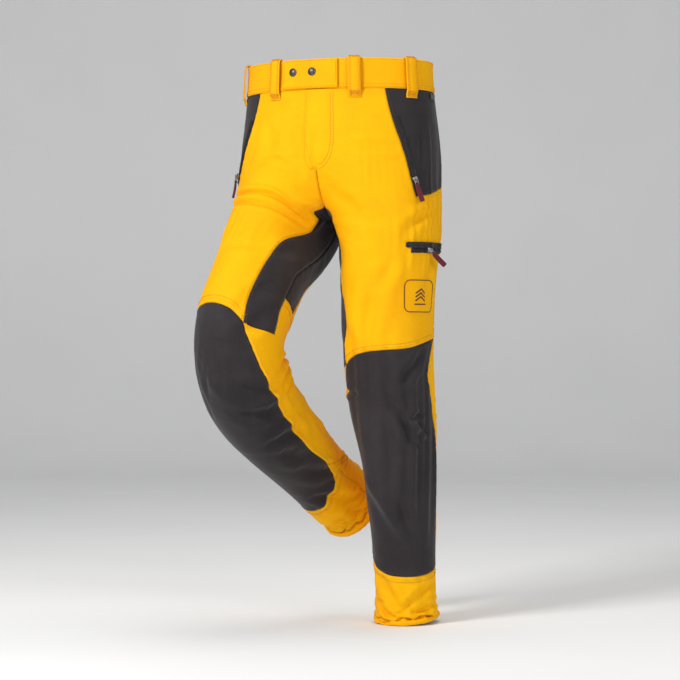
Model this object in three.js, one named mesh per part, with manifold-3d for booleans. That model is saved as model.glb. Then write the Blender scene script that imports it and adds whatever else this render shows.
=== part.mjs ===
// Protective work trousers: softshell panels on a worn, half-striding pose, with zipped pockets, a press-stud
// waistband and a zipped fly. Millimetres, +Z up. The origin is the centre of the waist opening, level with the
// waistband's top edge; +X is the wearer's left and -Y is forward.
//
// The cloth is one continuous skin, and every panel is a patch of it. A place on the skin is (phi, v):
//   phi  degrees round one half of the garment: 0 at the centre front (below the crotch, the inseam's front side),
//        90 at the outer side, 180 at the centre back (below the crotch, the inseam's back side)
//   v    millimetres down from the waistband's top edge, along the leg
// and a layer's offset is measured outwards from the skin.
import * as THREE from "three";
import Module from "manifold-3d";
import { mergeVertices } from "three/addons/utils/BufferGeometryUtils.js";

const wasm = await Module();
wasm.setup();
const { lerp, degToRad, clamp, smoothstep } = THREE.MathUtils;

// ---------------------------------------------------------------- lengths down the garment
const CROTCH_DEPTH = 283;
const THIGH_LENGTH = 357;
const SHIN_LENGTH = 410;
const BAND_HEIGHT = 56;
const HIP_DEPTH = 190;
const KNEE_DEPTH = CROTCH_DEPTH + THIGH_LENGTH;
const OUTSEAM = KNEE_DEPTH + SHIN_LENGTH;

// ---------------------------------------------------------------- half widths and depths of the sections
const WAIST_HALF_WIDTH = 180;
const WAIST_HALF_DEPTH = 121;
const HIP_HALF_WIDTH = 196;
const HIP_FRONT_DEPTH = 126;
const SEAT_DEPTH = 140;
const THIGH_HALF_WIDTH = 98;
const THIGH_HALF_DEPTH = 108;
const MID_THIGH_HALF_WIDTH = 85;
const MID_THIGH_HALF_DEPTH = 98;
const KNEE_HALF_WIDTH = 80;
const KNEE_HALF_DEPTH = 90;
const CALF_HALF_WIDTH = 68;
const CALF_HALF_DEPTH = 84;
const ANKLE_HALF_WIDTH = 56;
const ANKLE_HALF_DEPTH = 66;
const HEM_HALF_WIDTH = 60;
const HEM_HALF_DEPTH = 70;
const CROTCH_SHARPNESS = 3.2;

// ---------------------------------------------------------------- the worn pose, in degrees
const POSE = {
  left: { side: 1, lift: 0, knee: 7, turn: 0, spread: 3.6, spreadFrom: 540, spreadTo: 740, tuck: 8 },
  right: { side: -1, lift: 33.8, knee: 85, turn: 14.5, spread: 5, spreadFrom: 283, spreadTo: 640, tuck: 0 },
};
const HIP_PIVOT_DEPTH = 215;
const KNEE_BEND_LENGTH = 214;
const BEND_DEPTH = KNEE_DEPTH - 28; // the leg bends about this depth, a little above the kneecap's middle
const KNEE_ZONE = 70; // how far above and below the knee the cloth folds

// ---------------------------------------------------------------- cloth layers
const CLOTH = 2.4;
const BAND_CLOTH = 3.5;
const SEAM_GAP = 0.3; // each panel stops this short of its seam
const SEAT_GAP = 0.45; // between a layer and the one it lies on
const OUTSIDE = CLOTH / 2 + SEAT_GAP;
const INSIDE = -CLOTH / 2 - SEAT_GAP - 1; // clear of the panels' facets

// ---------------------------------------------------------------- waistband, fly and trims
const TAB_END = -21.5; // phi of the overlap tab's free end, on the wearer's right
const TAB_ROOT = 14;
const TAB_LAYER = 3;
const LOOP_WIDTH = 24;
const LOOP_TOP = -2.7;
const LOOP_BOTTOM = 72;
const LOOP_FOOT = 9;
const LOOP_STAND = 7.5; // clear height under a belt loop
const LOOP_CLOTH = 2.2;
const LOOPS = { front_L: 24, front_R: 27, side_L: 63, side_R: 70, back_L: 124, back_R: 124, centre_back: 180 };
const SNAP_RADIUS = 7.5;
const SNAP_RISE = 3.2;
const SNAP_PHI = [-13.7, -1.4];
const SNAP_DEPTH = 24;
const STUD_RADIUS = 5;
const FLY_DEPTH = 262;
const FLY_FREE_EDGE = -5.4;
const FLY_STITCH = 10.8;
const ZIP_WIDTH = 5.6;
const ZIP_RISE = 1.8;
const ZIP_TAPE = 13;
const ZIP_TAPE_CLOTH = 0.7;
const SLIDER_WIDTH = 9.6;
const SLIDER_LENGTH = 11;
const SLIDER_RISE = 4.6;
const SLIDER_GAP = 0.35;
const LUG_SIZE = 4.2;
const LUG_BORE = 2.2;
const RING_WIRE = 1.3;
const RING_LENGTH = 9;
const RING_WIDTH = 7;
const PULL_LENGTH = 32;
const PULL_WIDTH = 6;
const PULL_CLOTH = 2;
const CARGO_PULL_DROOP = 40; // degrees down from the zip's line
const BADGE = { phi: [50, 92], v: [401, 459], cloth: 1, corner: 11 };
const CARGO_ZIP = { phi: [59, 84, 107], v: 347 };
const CARGO = { phi: [55, 112], v: [333, 342], cloth: 2.4 };
const CARGO_BAG = { phi: [52, 98], v: [350, 500] };
const POCKET_BAG = { phi: [26, 60], v: [92, 236] };
const BAG_CLOTH = 1.6;
const HIP_TAG = { phi: [84, 94], v: [60, 70] };

// ---------------------------------------------------------------- seams
const HIP_SEAM = [[43, 56], [45, 90], [48, 125], [52, 160], [56, 198], [61.5, 250]]; // front of the hip panel
const HIP_HEM = [[61.5, 250], [75, 246], [90, 238], [106, 228]]; // bottom of the hip panel
const SIDE_SEAM_TOP = [[112, BAND_HEIGHT], [109, 150], [106, 228]];
const THIGH_SEAM = [[0, 262], [8, 276], [12, 330], [15, 430], [16, 553]]; // front of the inner thigh panel
const BACK_CROSS_DEPTH = 485;
const GUSSET_SEAM = [[160, 262], [163, 370], [168, BACK_CROSS_DEPTH]]; // back of the crotch gusset
const SIDE_SEAM = 101; // phi of the side seam down the leg
const KNEE_TOP = [[0, 76], [16, 86], [20, 97], [61, 116], [85, 128], [SIDE_SEAM, 132]]; // above the knee
const CUFF_TOP = [[0, 142], [20, 118], [34, 110], [60, 106], [100, 112], [135, 96], [160, 120], [180, 142]];
const HEM_BAND_HEIGHT = 18;

const smooth = (x) => smoothstep(x, 0, 1);

// A smooth curve through [v, value] stations, level past its ends.
function stations(points) {
  const at = points.map((p) => p[0]);
  const y = points.map((p) => p[1]);
  const slope = at.map((_, i) => {
    if (i === 0 || i === at.length - 1) return 0;
    const before = (y[i] - y[i - 1]) / (at[i] - at[i - 1]);
    const after = (y[i + 1] - y[i]) / (at[i + 1] - at[i]);
    return before * after <= 0 ? 0 : (2 * before * after) / (before + after);
  });
  return (v) => {
    if (v <= at[0]) return y[0];
    let i = at.findIndex((a) => a >= v) - 1;
    if (i < 0) return y[y.length - 1];
    const h = at[i + 1] - at[i];
    const t = (v - at[i]) / h;
    const t2 = t * t;
    const t3 = t2 * t;
    return (
      y[i] * (2 * t3 - 3 * t2 + 1) +
      slope[i] * h * (t3 - 2 * t2 + t) +
      y[i + 1] * (3 * t2 - 2 * t3) +
      slope[i + 1] * h * (t3 - t2)
    );
  };
}

const MID_THIGH = lerp(CROTCH_DEPTH, KNEE_DEPTH, 0.42);
const CALF = lerp(KNEE_DEPTH, OUTSEAM, 0.25);
const ANKLE = lerp(KNEE_DEPTH, OUTSEAM, 0.75);

const outerHalfWidth = stations([
  [0, WAIST_HALF_WIDTH],
  [HIP_DEPTH, HIP_HALF_WIDTH],
  [CROTCH_DEPTH, 2 * THIGH_HALF_WIDTH],
]);
const legHalfWidth = stations([
  [CROTCH_DEPTH, THIGH_HALF_WIDTH],
  [MID_THIGH, MID_THIGH_HALF_WIDTH],
  [KNEE_DEPTH, KNEE_HALF_WIDTH],
  [CALF, CALF_HALF_WIDTH],
  [ANKLE, ANKLE_HALF_WIDTH],
  [OUTSEAM, HEM_HALF_WIDTH],
]);
const legDepths = [
  [MID_THIGH, MID_THIGH_HALF_DEPTH],
  [KNEE_DEPTH, KNEE_HALF_DEPTH],
  [CALF, CALF_HALF_DEPTH],
  [ANKLE, ANKLE_HALF_DEPTH],
  [OUTSEAM, HEM_HALF_DEPTH],
];
const frontDepth = stations([
  [0, WAIST_HALF_DEPTH],
  [HIP_DEPTH, HIP_FRONT_DEPTH],
  [CROTCH_DEPTH, THIGH_HALF_DEPTH],
  ...legDepths,
]);
const backDepth = stations([
  [0, WAIST_HALF_DEPTH],
  [HIP_DEPTH, SEAT_DEPTH],
  [CROTCH_DEPTH + 30, THIGH_HALF_DEPTH + 12],
  ...legDepths,
]);

// How far the halves have parted into legs: 0 at the waist, 1 from the crotch down.
const parting = (v) => (v >= CROTCH_DEPTH ? 1 : (Math.max(v, 0) / CROTCH_DEPTH) ** CROTCH_SHARPNESS);

function halfWidth(v) {
  return v >= CROTCH_DEPTH ? legHalfWidth(v) : outerHalfWidth(v) / (1 + parting(v));
}

// The angle round a section, from the outer side, at which it meets the other half.
const cutAngle = (v) => Math.acos(-parting(v));

// phi to the angle round the section: even at the waist, drawn towards the inseam below the crotch.
function sectionAngle(phi, v) {
  const p = (phi - 90) / 90;
  const extra = cutAngle(v) - Math.PI / 2;
  return (Math.PI / 2) * p + Math.sign(p) * extra * p * p;
}

// The centre line of one leg before the thigh is lifted: down, then bending back at the knee.
function centreLine(pose) {
  const step = 2;
  const top = BEND_DEPTH - KNEE_BEND_LENGTH / 2;
  const points = [];
  let y = 0;
  let z = -top;
  for (let v = top; v <= OUTSEAM + step; v += step) {
    points.push([y, z]);
    const pitch = degToRad(pose.knee) * bendShare(v + step / 2);
    y += Math.sin(pitch) * step;
    z -= Math.cos(pitch) * step;
  }
  return (v) => {
    if (v <= top) return [0, -v];
    const i = Math.min((v - top) / step, points.length - 1.001);
    const k = Math.floor(i);
    return [lerp(points[k][0], points[k + 1][0], i - k), lerp(points[k][1], points[k + 1][1], i - k)];
  };
}
const bendShare = (v) => {
  const t = clamp((v - BEND_DEPTH) / KNEE_BEND_LENGTH + 0.5, 0, 1);
  return lerp(t, smooth(t), 0.4);
};
for (const pose of Object.values(POSE)) pose.centre = centreLine(pose);

// The leg's centre and axes at v, before the lift: centre, outward, backward and along directions.
function section(pose, v) {
  const turn = degToRad(pose.turn) * smooth((v - CROTCH_DEPTH) / (THIGH_LENGTH - KNEE_BEND_LENGTH / 2));
  const pitch = degToRad(pose.knee) * bendShare(v);
  const [back, z] = pose.centre(v);
  const outward = new THREE.Vector3(Math.cos(turn), Math.sin(turn), 0);
  const backLevel = new THREE.Vector3(-Math.sin(turn), Math.cos(turn), 0);
  const backward = backLevel.clone().multiplyScalar(Math.cos(pitch));
  backward.z = Math.sin(pitch);
  const width = halfWidth(v);
  const clear = THIGH_HALF_WIDTH + 3 * smooth((v - CROTCH_DEPTH) / 60);
  const apart = v < CROTCH_DEPTH ? parting(v) * width : clear - pose.tuck * smooth((v - CROTCH_DEPTH - 20) / 120);
  const centre = new THREE.Vector3(apart, 0, z).addScaledVector(backLevel, back);
  const down = clamp((v - pose.spreadFrom) / (pose.spreadTo - pose.spreadFrom), 0, 1);
  centre.x += THIGH_LENGTH * Math.tan(degToRad(pose.spread)) * lerp(down, smooth(down), 0.5);
  return { centre, outward, backward, width };
}

// Lifts the thigh about the hip, by a share that fades out at the waist and along the centre seams.
function lifted(pose, point, v) {
  if (!pose.lift) return point;
  const aside = smooth(Math.abs(point.x) / 90);
  const start = lerp(CROTCH_DEPTH - 2, 100, aside);
  const end = lerp(CROTCH_DEPTH + 175, CROTCH_DEPTH + 110, aside);
  const angle = degToRad(pose.lift) * smooth((v - start) / (end - start));
  const pivot = new THREE.Vector3(point.x, 0, -HIP_PIVOT_DEPTH);
  return point.sub(pivot).applyAxisAngle(new THREE.Vector3(1, 0, 0), -angle).add(pivot);
}

function bare(pose, phi, v) {
  const angle = sectionAngle(phi, v);
  const { centre, outward, backward, width } = section(pose, v);
  const depth = angle < 0 ? frontDepth(v) : backDepth(v);
  const point = centre.addScaledVector(outward, width * Math.cos(angle));
  point.addScaledVector(backward, depth * Math.sin(angle));
  return lifted(pose, point, v);
}

function outwardNormal(pose, phi, v) {
  const lowPhi = Math.max(phi - 0.6, 0.02);
  const highPhi = Math.min(phi + 0.6, 179.98);
  const around = bare(pose, highPhi, v).sub(bare(pose, lowPhi, v));
  const down = bare(pose, phi, v + 1).sub(bare(pose, phi, v - 1));
  return down.cross(around).normalize();
}

// A place on the skin, in the part's frame. A negative phi runs over the centre front onto the other half.
function skin(pose, phi, v, offset = 0) {
  if (phi < 0 || phi > 180) {
    const other = pose === POSE.left ? POSE.right : POSE.left;
    return skin(other, phi < 0 ? -phi : 360 - phi, v, offset);
  }
  const point = bare(pose, phi, v).addScaledVector(outwardNormal(pose, phi, v), offset);
  if (v < CROTCH_DEPTH + 80) point.x = Math.max(point.x, SEAM_GAP);
  point.x *= pose.side;
  return point;
}

// ---------------------------------------------------------------- solids

// A closed mesh from rings of points: ring i joins ring i + 1, and the first and last rings are capped as grids.
function closedGrid(outer, inner, flip) {
  const rows = outer.length;
  const columns = outer[0].length;
  const positions = [];
  const place = (grid) => grid.flat().forEach((p) => positions.push(p.x, p.y, p.z));
  place(outer);
  place(inner);
  const O = (i, j) => i * columns + j;
  const I = (i, j) => rows * columns + i * columns + j;
  const index = [];
  const quad = (a, b, c, d) => {
    if (flip) index.push(a, c, b, a, d, c);
    else index.push(a, b, c, a, c, d);
  };
  for (let i = 0; i < rows - 1; i++)
    for (let j = 0; j < columns - 1; j++) {
      quad(O(i, j), O(i, j + 1), O(i + 1, j + 1), O(i + 1, j));
      quad(I(i, j), I(i + 1, j), I(i + 1, j + 1), I(i, j + 1));
    }
  for (let j = 0; j < columns - 1; j++) {
    quad(O(0, j + 1), O(0, j), I(0, j), I(0, j + 1));
    quad(O(rows - 1, j), O(rows - 1, j + 1), I(rows - 1, j + 1), I(rows - 1, j));
  }
  for (let i = 0; i < rows - 1; i++) {
    quad(O(i, 0), O(i + 1, 0), I(i + 1, 0), I(i, 0));
    quad(O(i + 1, columns - 1), O(i, columns - 1), I(i, columns - 1), I(i + 1, columns - 1));
  }
  const geometry = new THREE.BufferGeometry();
  geometry.setAttribute("position", new THREE.Float32BufferAttribute(positions, 3));
  geometry.setIndex(index);
  return geometry;
}

// An edge of a panel, as a function of t from 0 to 1: a smooth line through (phi, v) points.
function seam(...points) {
  if (points.length === 2) {
    const [[a, b], [c, d]] = points;
    return (t) => [lerp(a, c, t), lerp(b, d, t)];
  }
  const curve = new THREE.SplineCurve(points.map((p) => new THREE.Vector2(...p)));
  return (t) => curve.getPoint(t).toArray();
}

// A patch of skin between four edges (top and bottom run forward to back, front and back run down), from the
// inner to the outer offset. Offsets may vary: they are numbers or functions of (s, t).
function patch(pose, { top, bottom, front, back }, [across, down], [inner, outer], margin = SEAM_GAP) {
  const value = (x, s, t) => (typeof x === "function" ? x(s, t) : x);
  const marginPhi = (v) => (margin / halfWidth(v)) * 45;
  const grids = [outer, inner].map((offset) => {
    const rows = [];
    for (let i = 0; i <= down; i++) {
      const t = i / down;
      const row = [];
      for (let j = 0; j <= across; j++) {
        const s = j / across;
        const place = [0, 1].map(
          (k) =>
            (1 - t) * top(s)[k] +
            t * bottom(s)[k] +
            (1 - s) * front(t)[k] +
            s * back(t)[k] -
            ((1 - s) * (1 - t) * top(0)[k] + s * (1 - t) * top(1)[k] +
              (1 - s) * t * bottom(0)[k] + s * t * bottom(1)[k]),
        );
        const aside = place[0] + (1 - 2 * s) * marginPhi(place[1]);
        const phi = clamp(aside, Math.min(place[0], 0), Math.max(place[0], 180));
        const v = place[1] + (1 - 2 * t) * margin;
        row.push(skin(pose, phi, v, value(offset, s, t)));
      }
      rows.push(row);
    }
    return rows;
  });
  return closedGrid(grids[0], grids[1], pose.side > 0);
}

// A rectangular patch in (phi, v).
function block(pose, [phi0, phi1], [v0, v1], counts, offsets) {
  const edges = {
    top: seam([phi0, v0], [phi1, v0]),
    bottom: seam([phi0, v1], [phi1, v1]),
    front: seam([phi0, v0], [phi0, v1]),
    back: seam([phi1, v0], [phi1, v1]),
  };
  return patch(pose, edges, counts, offsets);
}

function solid(geometry) {
  const bareGeometry = new THREE.BufferGeometry();
  bareGeometry.setAttribute("position", geometry.getAttribute("position"));
  bareGeometry.setIndex(geometry.index);
  const merged = mergeVertices(bareGeometry, 1e-4);
  return new wasm.Manifold(
    new wasm.Mesh({
      numProp: 3,
      vertProperties: merged.attributes.position.array,
      triVerts: new Uint32Array(merged.index.array),
    }),
  );
}

function geometryOf(made) {
  const mesh = made.getMesh();
  const geometry = new THREE.BufferGeometry();
  const positions = new Float32Array(mesh.numVert * 3);
  for (let i = 0; i < mesh.numVert; i++)
    for (let k = 0; k < 3; k++) positions[3 * i + k] = mesh.vertProperties[i * mesh.numProp + k];
  geometry.setAttribute("position", new THREE.BufferAttribute(positions, 3));
  geometry.setIndex(new THREE.BufferAttribute(mesh.triVerts, 1));
  return geometry;
}

// An edge through (phi, v) points, spread over t by its length; breaks, if given, are each point's t.
function edge(points, breaks) {
  const lengths = [0];
  for (let i = 1; i < points.length; i++) {
    const [a, b] = [points[i - 1], points[i]];
    lengths.push(lengths[i - 1] + Math.hypot((b[0] - a[0]) * 1.7, b[1] - a[1]));
  }
  const at = breaks ?? lengths.map((l) => l / lengths[lengths.length - 1]);
  return (t) => {
    const i = Math.max(at.findIndex((x) => x >= t - 1e-9), 1);
    const k = clamp((t - at[i - 1]) / (at[i] - at[i - 1]), 0, 1);
    return [lerp(points[i - 1][0], points[i][0], k), lerp(points[i - 1][1], points[i][1], k)];
  };
}

// A line round the leg: its v at any phi, from stations of (phi, height above a level).
function level(points, base) {
  const curve = stations(points);
  return (phi) => base - curve(phi);
}
const kneeTop = level(KNEE_TOP, KNEE_DEPTH);
const cuffTop = level(CUFF_TOP, OUTSEAM);
const alongLevel = (line, phi0, phi1) => (s) => [lerp(phi0, phi1, s), line(lerp(phi0, phi1, s))];
const atDepth = (v) => () => v;

// A closed sleeve round one leg between two lines.
function sleeve(pose, topLine, bottomLine, [around, down], [inner, outer], margin = SEAM_GAP) {
  const ring = (t, offset) => {
    const points = [];
    for (let j = 0; j < around; j++) {
      const phi = (180 * j) / around;
      const v = lerp(topLine(phi) + margin, bottomLine(phi) - margin, t);
      points.push(skin(pose, phi, v, offset));
    }
    return points;
  };
  const rings = [];
  for (let i = 0; i <= down; i++) rings.push(ring(i / down, outer));
  for (let i = down; i >= 0; i--) rings.push(ring(i / down, inner));
  const positions = rings.flat().flatMap((p) => [p.x, p.y, p.z]);
  const index = [];
  rings.forEach((_, i) => {
    for (let j = 0; j < around; j++) {
      const k = (j + 1) % around;
      const n = (i + 1) % rings.length;
      const [a, b, c, d] = [i * around + j, i * around + k, n * around + k, n * around + j];
      if (pose.side < 0) index.push(a, b, c, a, c, d);
      else index.push(a, c, b, a, d, c);
    }
  });
  const geometry = new THREE.BufferGeometry();
  geometry.setAttribute("position", new THREE.Float32BufferAttribute(positions, 3));
  geometry.setIndex(index);
  return geometry;
}

// A right-handed frame on the skin: X outwards, Y up the garment, Z their cross product.
function place(pose, phi, v, offset = 0) {
  const origin = skin(pose, phi, v, offset);
  const out = skin(pose, phi, v, offset + 1).sub(origin).normalize();
  const up = skin(pose, phi, v - 2, offset).sub(skin(pose, phi, v + 2, offset));
  return frameOf(origin, out, up);
}

function frameOf(origin, out, along) {
  const up = along.clone().addScaledVector(out, -along.dot(out)).normalize();
  return new THREE.Matrix4().makeBasis(out, up, out.clone().cross(up)).setPosition(origin);
}

// A flat outline (out, up) drawn out to a width centred on the frame.
function strip(outline, width, holes = []) {
  const shape = new THREE.Shape(outline.map((p) => new THREE.Vector2(...p)));
  for (const hole of holes) shape.holes.push(new THREE.Path(hole.map((p) => new THREE.Vector2(...p))));
  const geometry = new THREE.ExtrudeGeometry(shape, { depth: width, bevelEnabled: false });
  return geometry.translate(0, 0, -width / 2);
}


// ---------------------------------------------------------------- the pieces
const group = new THREE.Group();
const solids = new Map();
const YELLOW = 0xf5b010;
const CHARCOAL = 0x3b3738;
const STEEL = 0x8b8d90;
const BURGUNDY = 0x6b2d37;

function add(name, geometry, color, roughness = 0.85, metalness = 0) {
  const material = new THREE.MeshStandardMaterial({ color, roughness, metalness });
  const mesh = new THREE.Mesh(geometry, material);
  mesh.name = name;
  group.add(mesh);
  solids.set(name, solid(geometry));
  return mesh;
}

const cloth = [-CLOTH / 2, CLOTH / 2];
const FACET_TOLERANCE = 0.04;
const CUT_GAP = 0.65;
const CUT_DEPTH = 4; // a panel's cut goes this much deeper than its cloth
let cuts = [];

function largest(made) {
  return made.decompose().sort((a, b) => b.volume() - a.volume())[0];
}

// Adds a panel. `shape(offsets, margin)` gives its solid; it gives way to every panel already there.
function addPanel(name, shape, color) {
  let made = solid(shape(cloth, SEAM_GAP));
  for (const cut of cuts) made = made.subtract(cut);
  cuts.push(solid(shape([cloth[0] - CUT_DEPTH, cloth[1] + CUT_DEPTH], -CUT_GAP)));
  add(name, geometryOf(largest(largest(made).simplify(FACET_TOLERANCE))), color);
}

for (const [tag, pose] of [["L", POSE.left], ["R", POSE.right]]) {
  cuts = [];
  const kneeEdge = KNEE_DEPTH - KNEE_ZONE;
  const shinEdge = KNEE_DEPTH + KNEE_ZONE;
  const waist = atDepth(BAND_HEIGHT);
  const area = (edges, counts) => (offsets, margin) => patch(pose, edges, counts, offsets, margin);
  const ring = (top, bottom, counts) => (offsets, margin) => sleeve(pose, top, bottom, counts, offsets, margin);
  const between = (line0, line1, phi0, phi1) => ({
    top: alongLevel(line0, phi0, phi1),
    bottom: alongLevel(line1, phi0, phi1),
    front: edge([[phi0, line0(phi0)], [phi0, line1(phi0)]]),
    back: edge([[phi1, line0(phi1)], [phi1, line1(phi1)]]),
  });

  const hip = {
    top: alongLevel(waist, 43, 112),
    bottom: edge(HIP_HEM),
    front: edge(HIP_SEAM),
    back: edge(SIDE_SEAM_TOP),
  };
  addPanel(`side_panel_${tag}`, area(hip, [7, 7]), CHARCOAL);

  const innerThigh = {
    top: edge([[0, 266], THIGH_SEAM[1]]),
    bottom: alongLevel(kneeTop, 0, 16),
    front: edge([[0, 266], [0, kneeTop(0)]]),
    back: edge([...THIGH_SEAM.slice(1, 4), [16, kneeTop(16)]]),
  };
  addPanel(`inner_thigh_panel_${tag}`, area(innerThigh, [2, 10]), CHARCOAL);

  const gusset = {
    top: edge([GUSSET_SEAM[0], [180, 262]]),
    bottom: alongLevel(atDepth(BACK_CROSS_DEPTH), GUSSET_SEAM[2][0], 180),
    front: edge(GUSSET_SEAM),
    back: edge([[180, 262], [180, BACK_CROSS_DEPTH]]),
  };
  addPanel(`crotch_gusset_${tag}`, area(gusset, [3, 8]), CHARCOAL);

  const front = {
    top: alongLevel(waist, 0, 43),
    bottom: alongLevel(kneeTop, 16, SIDE_SEAM),
    front: edge([[0, BAND_HEIGHT], ...THIGH_SEAM], [0, 0.4, 0.44, 0.54, 0.72, 1]),
    back: edge(
      [HIP_SEAM[0], HIP_SEAM[3], HIP_SEAM[5], HIP_HEM[1], HIP_HEM[2], HIP_HEM[3], [SIDE_SEAM, kneeTop(SIDE_SEAM)]],
      [0, 0.2, 0.4, 0.44, 0.49, 0.54, 1],
    ),
  };
  addPanel(`front_panel_${tag}`, area(front, [8, 20]), YELLOW);

  const seat = {
    top: alongLevel(waist, 112, 180),
    bottom: alongLevel(atDepth(BACK_CROSS_DEPTH), SIDE_SEAM, GUSSET_SEAM[2][0]),
    front: edge([...SIDE_SEAM_TOP, [SIDE_SEAM, BACK_CROSS_DEPTH]]),
    back: edge([[180, BAND_HEIGHT], [180, 255], ...GUSSET_SEAM], [0, 0.46, 0.52, 0.74, 1]),
  };
  addPanel(`seat_panel_${tag}`, area(seat, [7, 15]), YELLOW);

  const backThigh = between(atDepth(BACK_CROSS_DEPTH), atDepth(kneeEdge), SIDE_SEAM, 180);
  addPanel(`back_thigh_panel_${tag}`, area(backThigh, [7, 3]), YELLOW);
  // The yoke's columns meet the inner thigh panel's two and the front panel's eight.
  const yokePhi = (s) => (s < 0.2 ? 16 * 5 * s : lerp(16, SIDE_SEAM, (s - 0.2) / 0.8));
  const yoke = {
    ...between(kneeTop, atDepth(kneeEdge), 0, SIDE_SEAM),
    top: (s) => [yokePhi(s), kneeTop(yokePhi(s))],
    bottom: (s) => [yokePhi(s), kneeEdge],
  };
  addPanel(`knee_yoke_${tag}`, area(yoke, [10, 2]), CHARCOAL);
  addPanel(`knee_fold_${tag}`, ring(atDepth(kneeEdge), atDepth(shinEdge), [18, 6]), CHARCOAL);
  addPanel(`shin_panel_${tag}`, area(between(atDepth(shinEdge), cuffTop, 0, SIDE_SEAM), [9, 6]), CHARCOAL);
  addPanel(`calf_panel_${tag}`, area(between(atDepth(shinEdge), cuffTop, SIDE_SEAM, 180), [8, 6]), YELLOW);
  const hemTop = atDepth(OUTSEAM - HEM_BAND_HEIGHT);
  addPanel(`cuff_panel_${tag}`, ring(cuffTop, hemTop, [18, 3]), YELLOW);
  addPanel(`hem_band_${tag}`, ring(hemTop, atDepth(OUTSEAM), [18, 1]), YELLOW);
}


// ---------------------------------------------------------------- waistband
const band = [-BAND_CLOTH / 2, BAND_CLOTH / 2];
const tabLayer = [BAND_CLOTH / 2 + SEAT_GAP, BAND_CLOTH / 2 + SEAT_GAP + TAB_LAYER];
for (const [tag, pose] of [["L", POSE.left], ["R", POSE.right]]) {
  add(`waistband_${tag}`, block(pose, [0, 180], [0, BAND_HEIGHT], [30, 1], band), YELLOW);
}
const tab = block(POSE.left, [TAB_END, TAB_ROOT], [0.5, BAND_HEIGHT - 1], [10, 1], tabLayer);
add("waistband_tab", tab, YELLOW);

// ---------------------------------------------------------------- belt loops
function loopOutline() {
  const foot = OUTSIDE - 0.15;
  const out = BAND_CLOTH / 2 + LOOP_STAND;
  const bottom = -(LOOP_BOTTOM - LOOP_TOP);
  return [
    [foot, bottom],
    [foot + LOOP_CLOTH, bottom],
    [out + LOOP_CLOTH, bottom + LOOP_FOOT + 4],
    [out + LOOP_CLOTH, -3],
    [out, 0],
    [-1, 0],
    [-1, -1.6],
    [out - 2, -1.6],
    [out, -4],
    [out, bottom + LOOP_FOOT + 5],
    [foot + 1, bottom + LOOP_FOOT],
    [foot, bottom + LOOP_FOOT],
  ];
}
for (const [tag, phi] of Object.entries(LOOPS)) {
  const pose = tag.endsWith("R") ? POSE.right : POSE.left;
  const middle = place(pose, phi, (LOOP_TOP + LOOP_BOTTOM) / 2);
  const top = place(pose, phi, LOOP_TOP);
  const frame = frameOf(
    new THREE.Vector3().setFromMatrixPosition(top),
    new THREE.Vector3().setFromMatrixColumn(middle, 0),
    new THREE.Vector3().setFromMatrixColumn(middle, 1),
  );
  const loop = strip(loopOutline(), LOOP_WIDTH);
  add(`belt_loop_${tag}`, loop.applyMatrix4(frame), YELLOW);
}

// ---------------------------------------------------------------- press studs
function turned(profile, segments = 20) {
  return new THREE.LatheGeometry(profile.map((p) => new THREE.Vector2(...p)), segments).rotateZ(-Math.PI / 2);
}
SNAP_PHI.forEach((phi, i) => {
  const seat = place(POSE.left, phi, SNAP_DEPTH);
  const base = tabLayer[1] + SEAT_GAP;
  const cap = turned([
    [0, base],
    [SNAP_RADIUS, base],
    [SNAP_RADIUS, base + 1],
    [SNAP_RADIUS * 0.86, base + SNAP_RISE * 0.75],
    [SNAP_RADIUS * 0.45, base + SNAP_RISE],
    [0, base + SNAP_RISE],
  ]);
  add(`snap_cap_${i + 1}`, cap.applyMatrix4(seat), STEEL, 0.35, 0.9);
  const inner = band[0] - SEAT_GAP;
  const stud = turned([
    [0, inner - 1.6],
    [STUD_RADIUS, inner - 1.6],
    [STUD_RADIUS, inner],
    [0, inner],
  ]);
  add(`snap_stud_${i + 1}`, stud.applyMatrix4(seat), STEEL, 0.35, 0.9);
});

// ---------------------------------------------------------------- fly
const placketLayer = [OUTSIDE + 0.6, OUTSIDE + 0.6 + CLOTH];
const fly = {
  top: seam([FLY_FREE_EDGE, BAND_HEIGHT + 1], [FLY_STITCH, BAND_HEIGHT + 1]),
  bottom: seam([-1.5, FLY_DEPTH - 60], [1.5, FLY_DEPTH - 60]),
  front: seam([FLY_FREE_EDGE, BAND_HEIGHT + 1], [FLY_FREE_EDGE, FLY_DEPTH - 120], [-1.5, FLY_DEPTH - 60]),
  back: seam([FLY_STITCH, BAND_HEIGHT + 1], [FLY_STITCH, FLY_DEPTH - 110], [1.5, FLY_DEPTH - 60]),
};
add("fly_placket", patch(POSE.left, fly, [4, 9], placketLayer), YELLOW);

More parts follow.
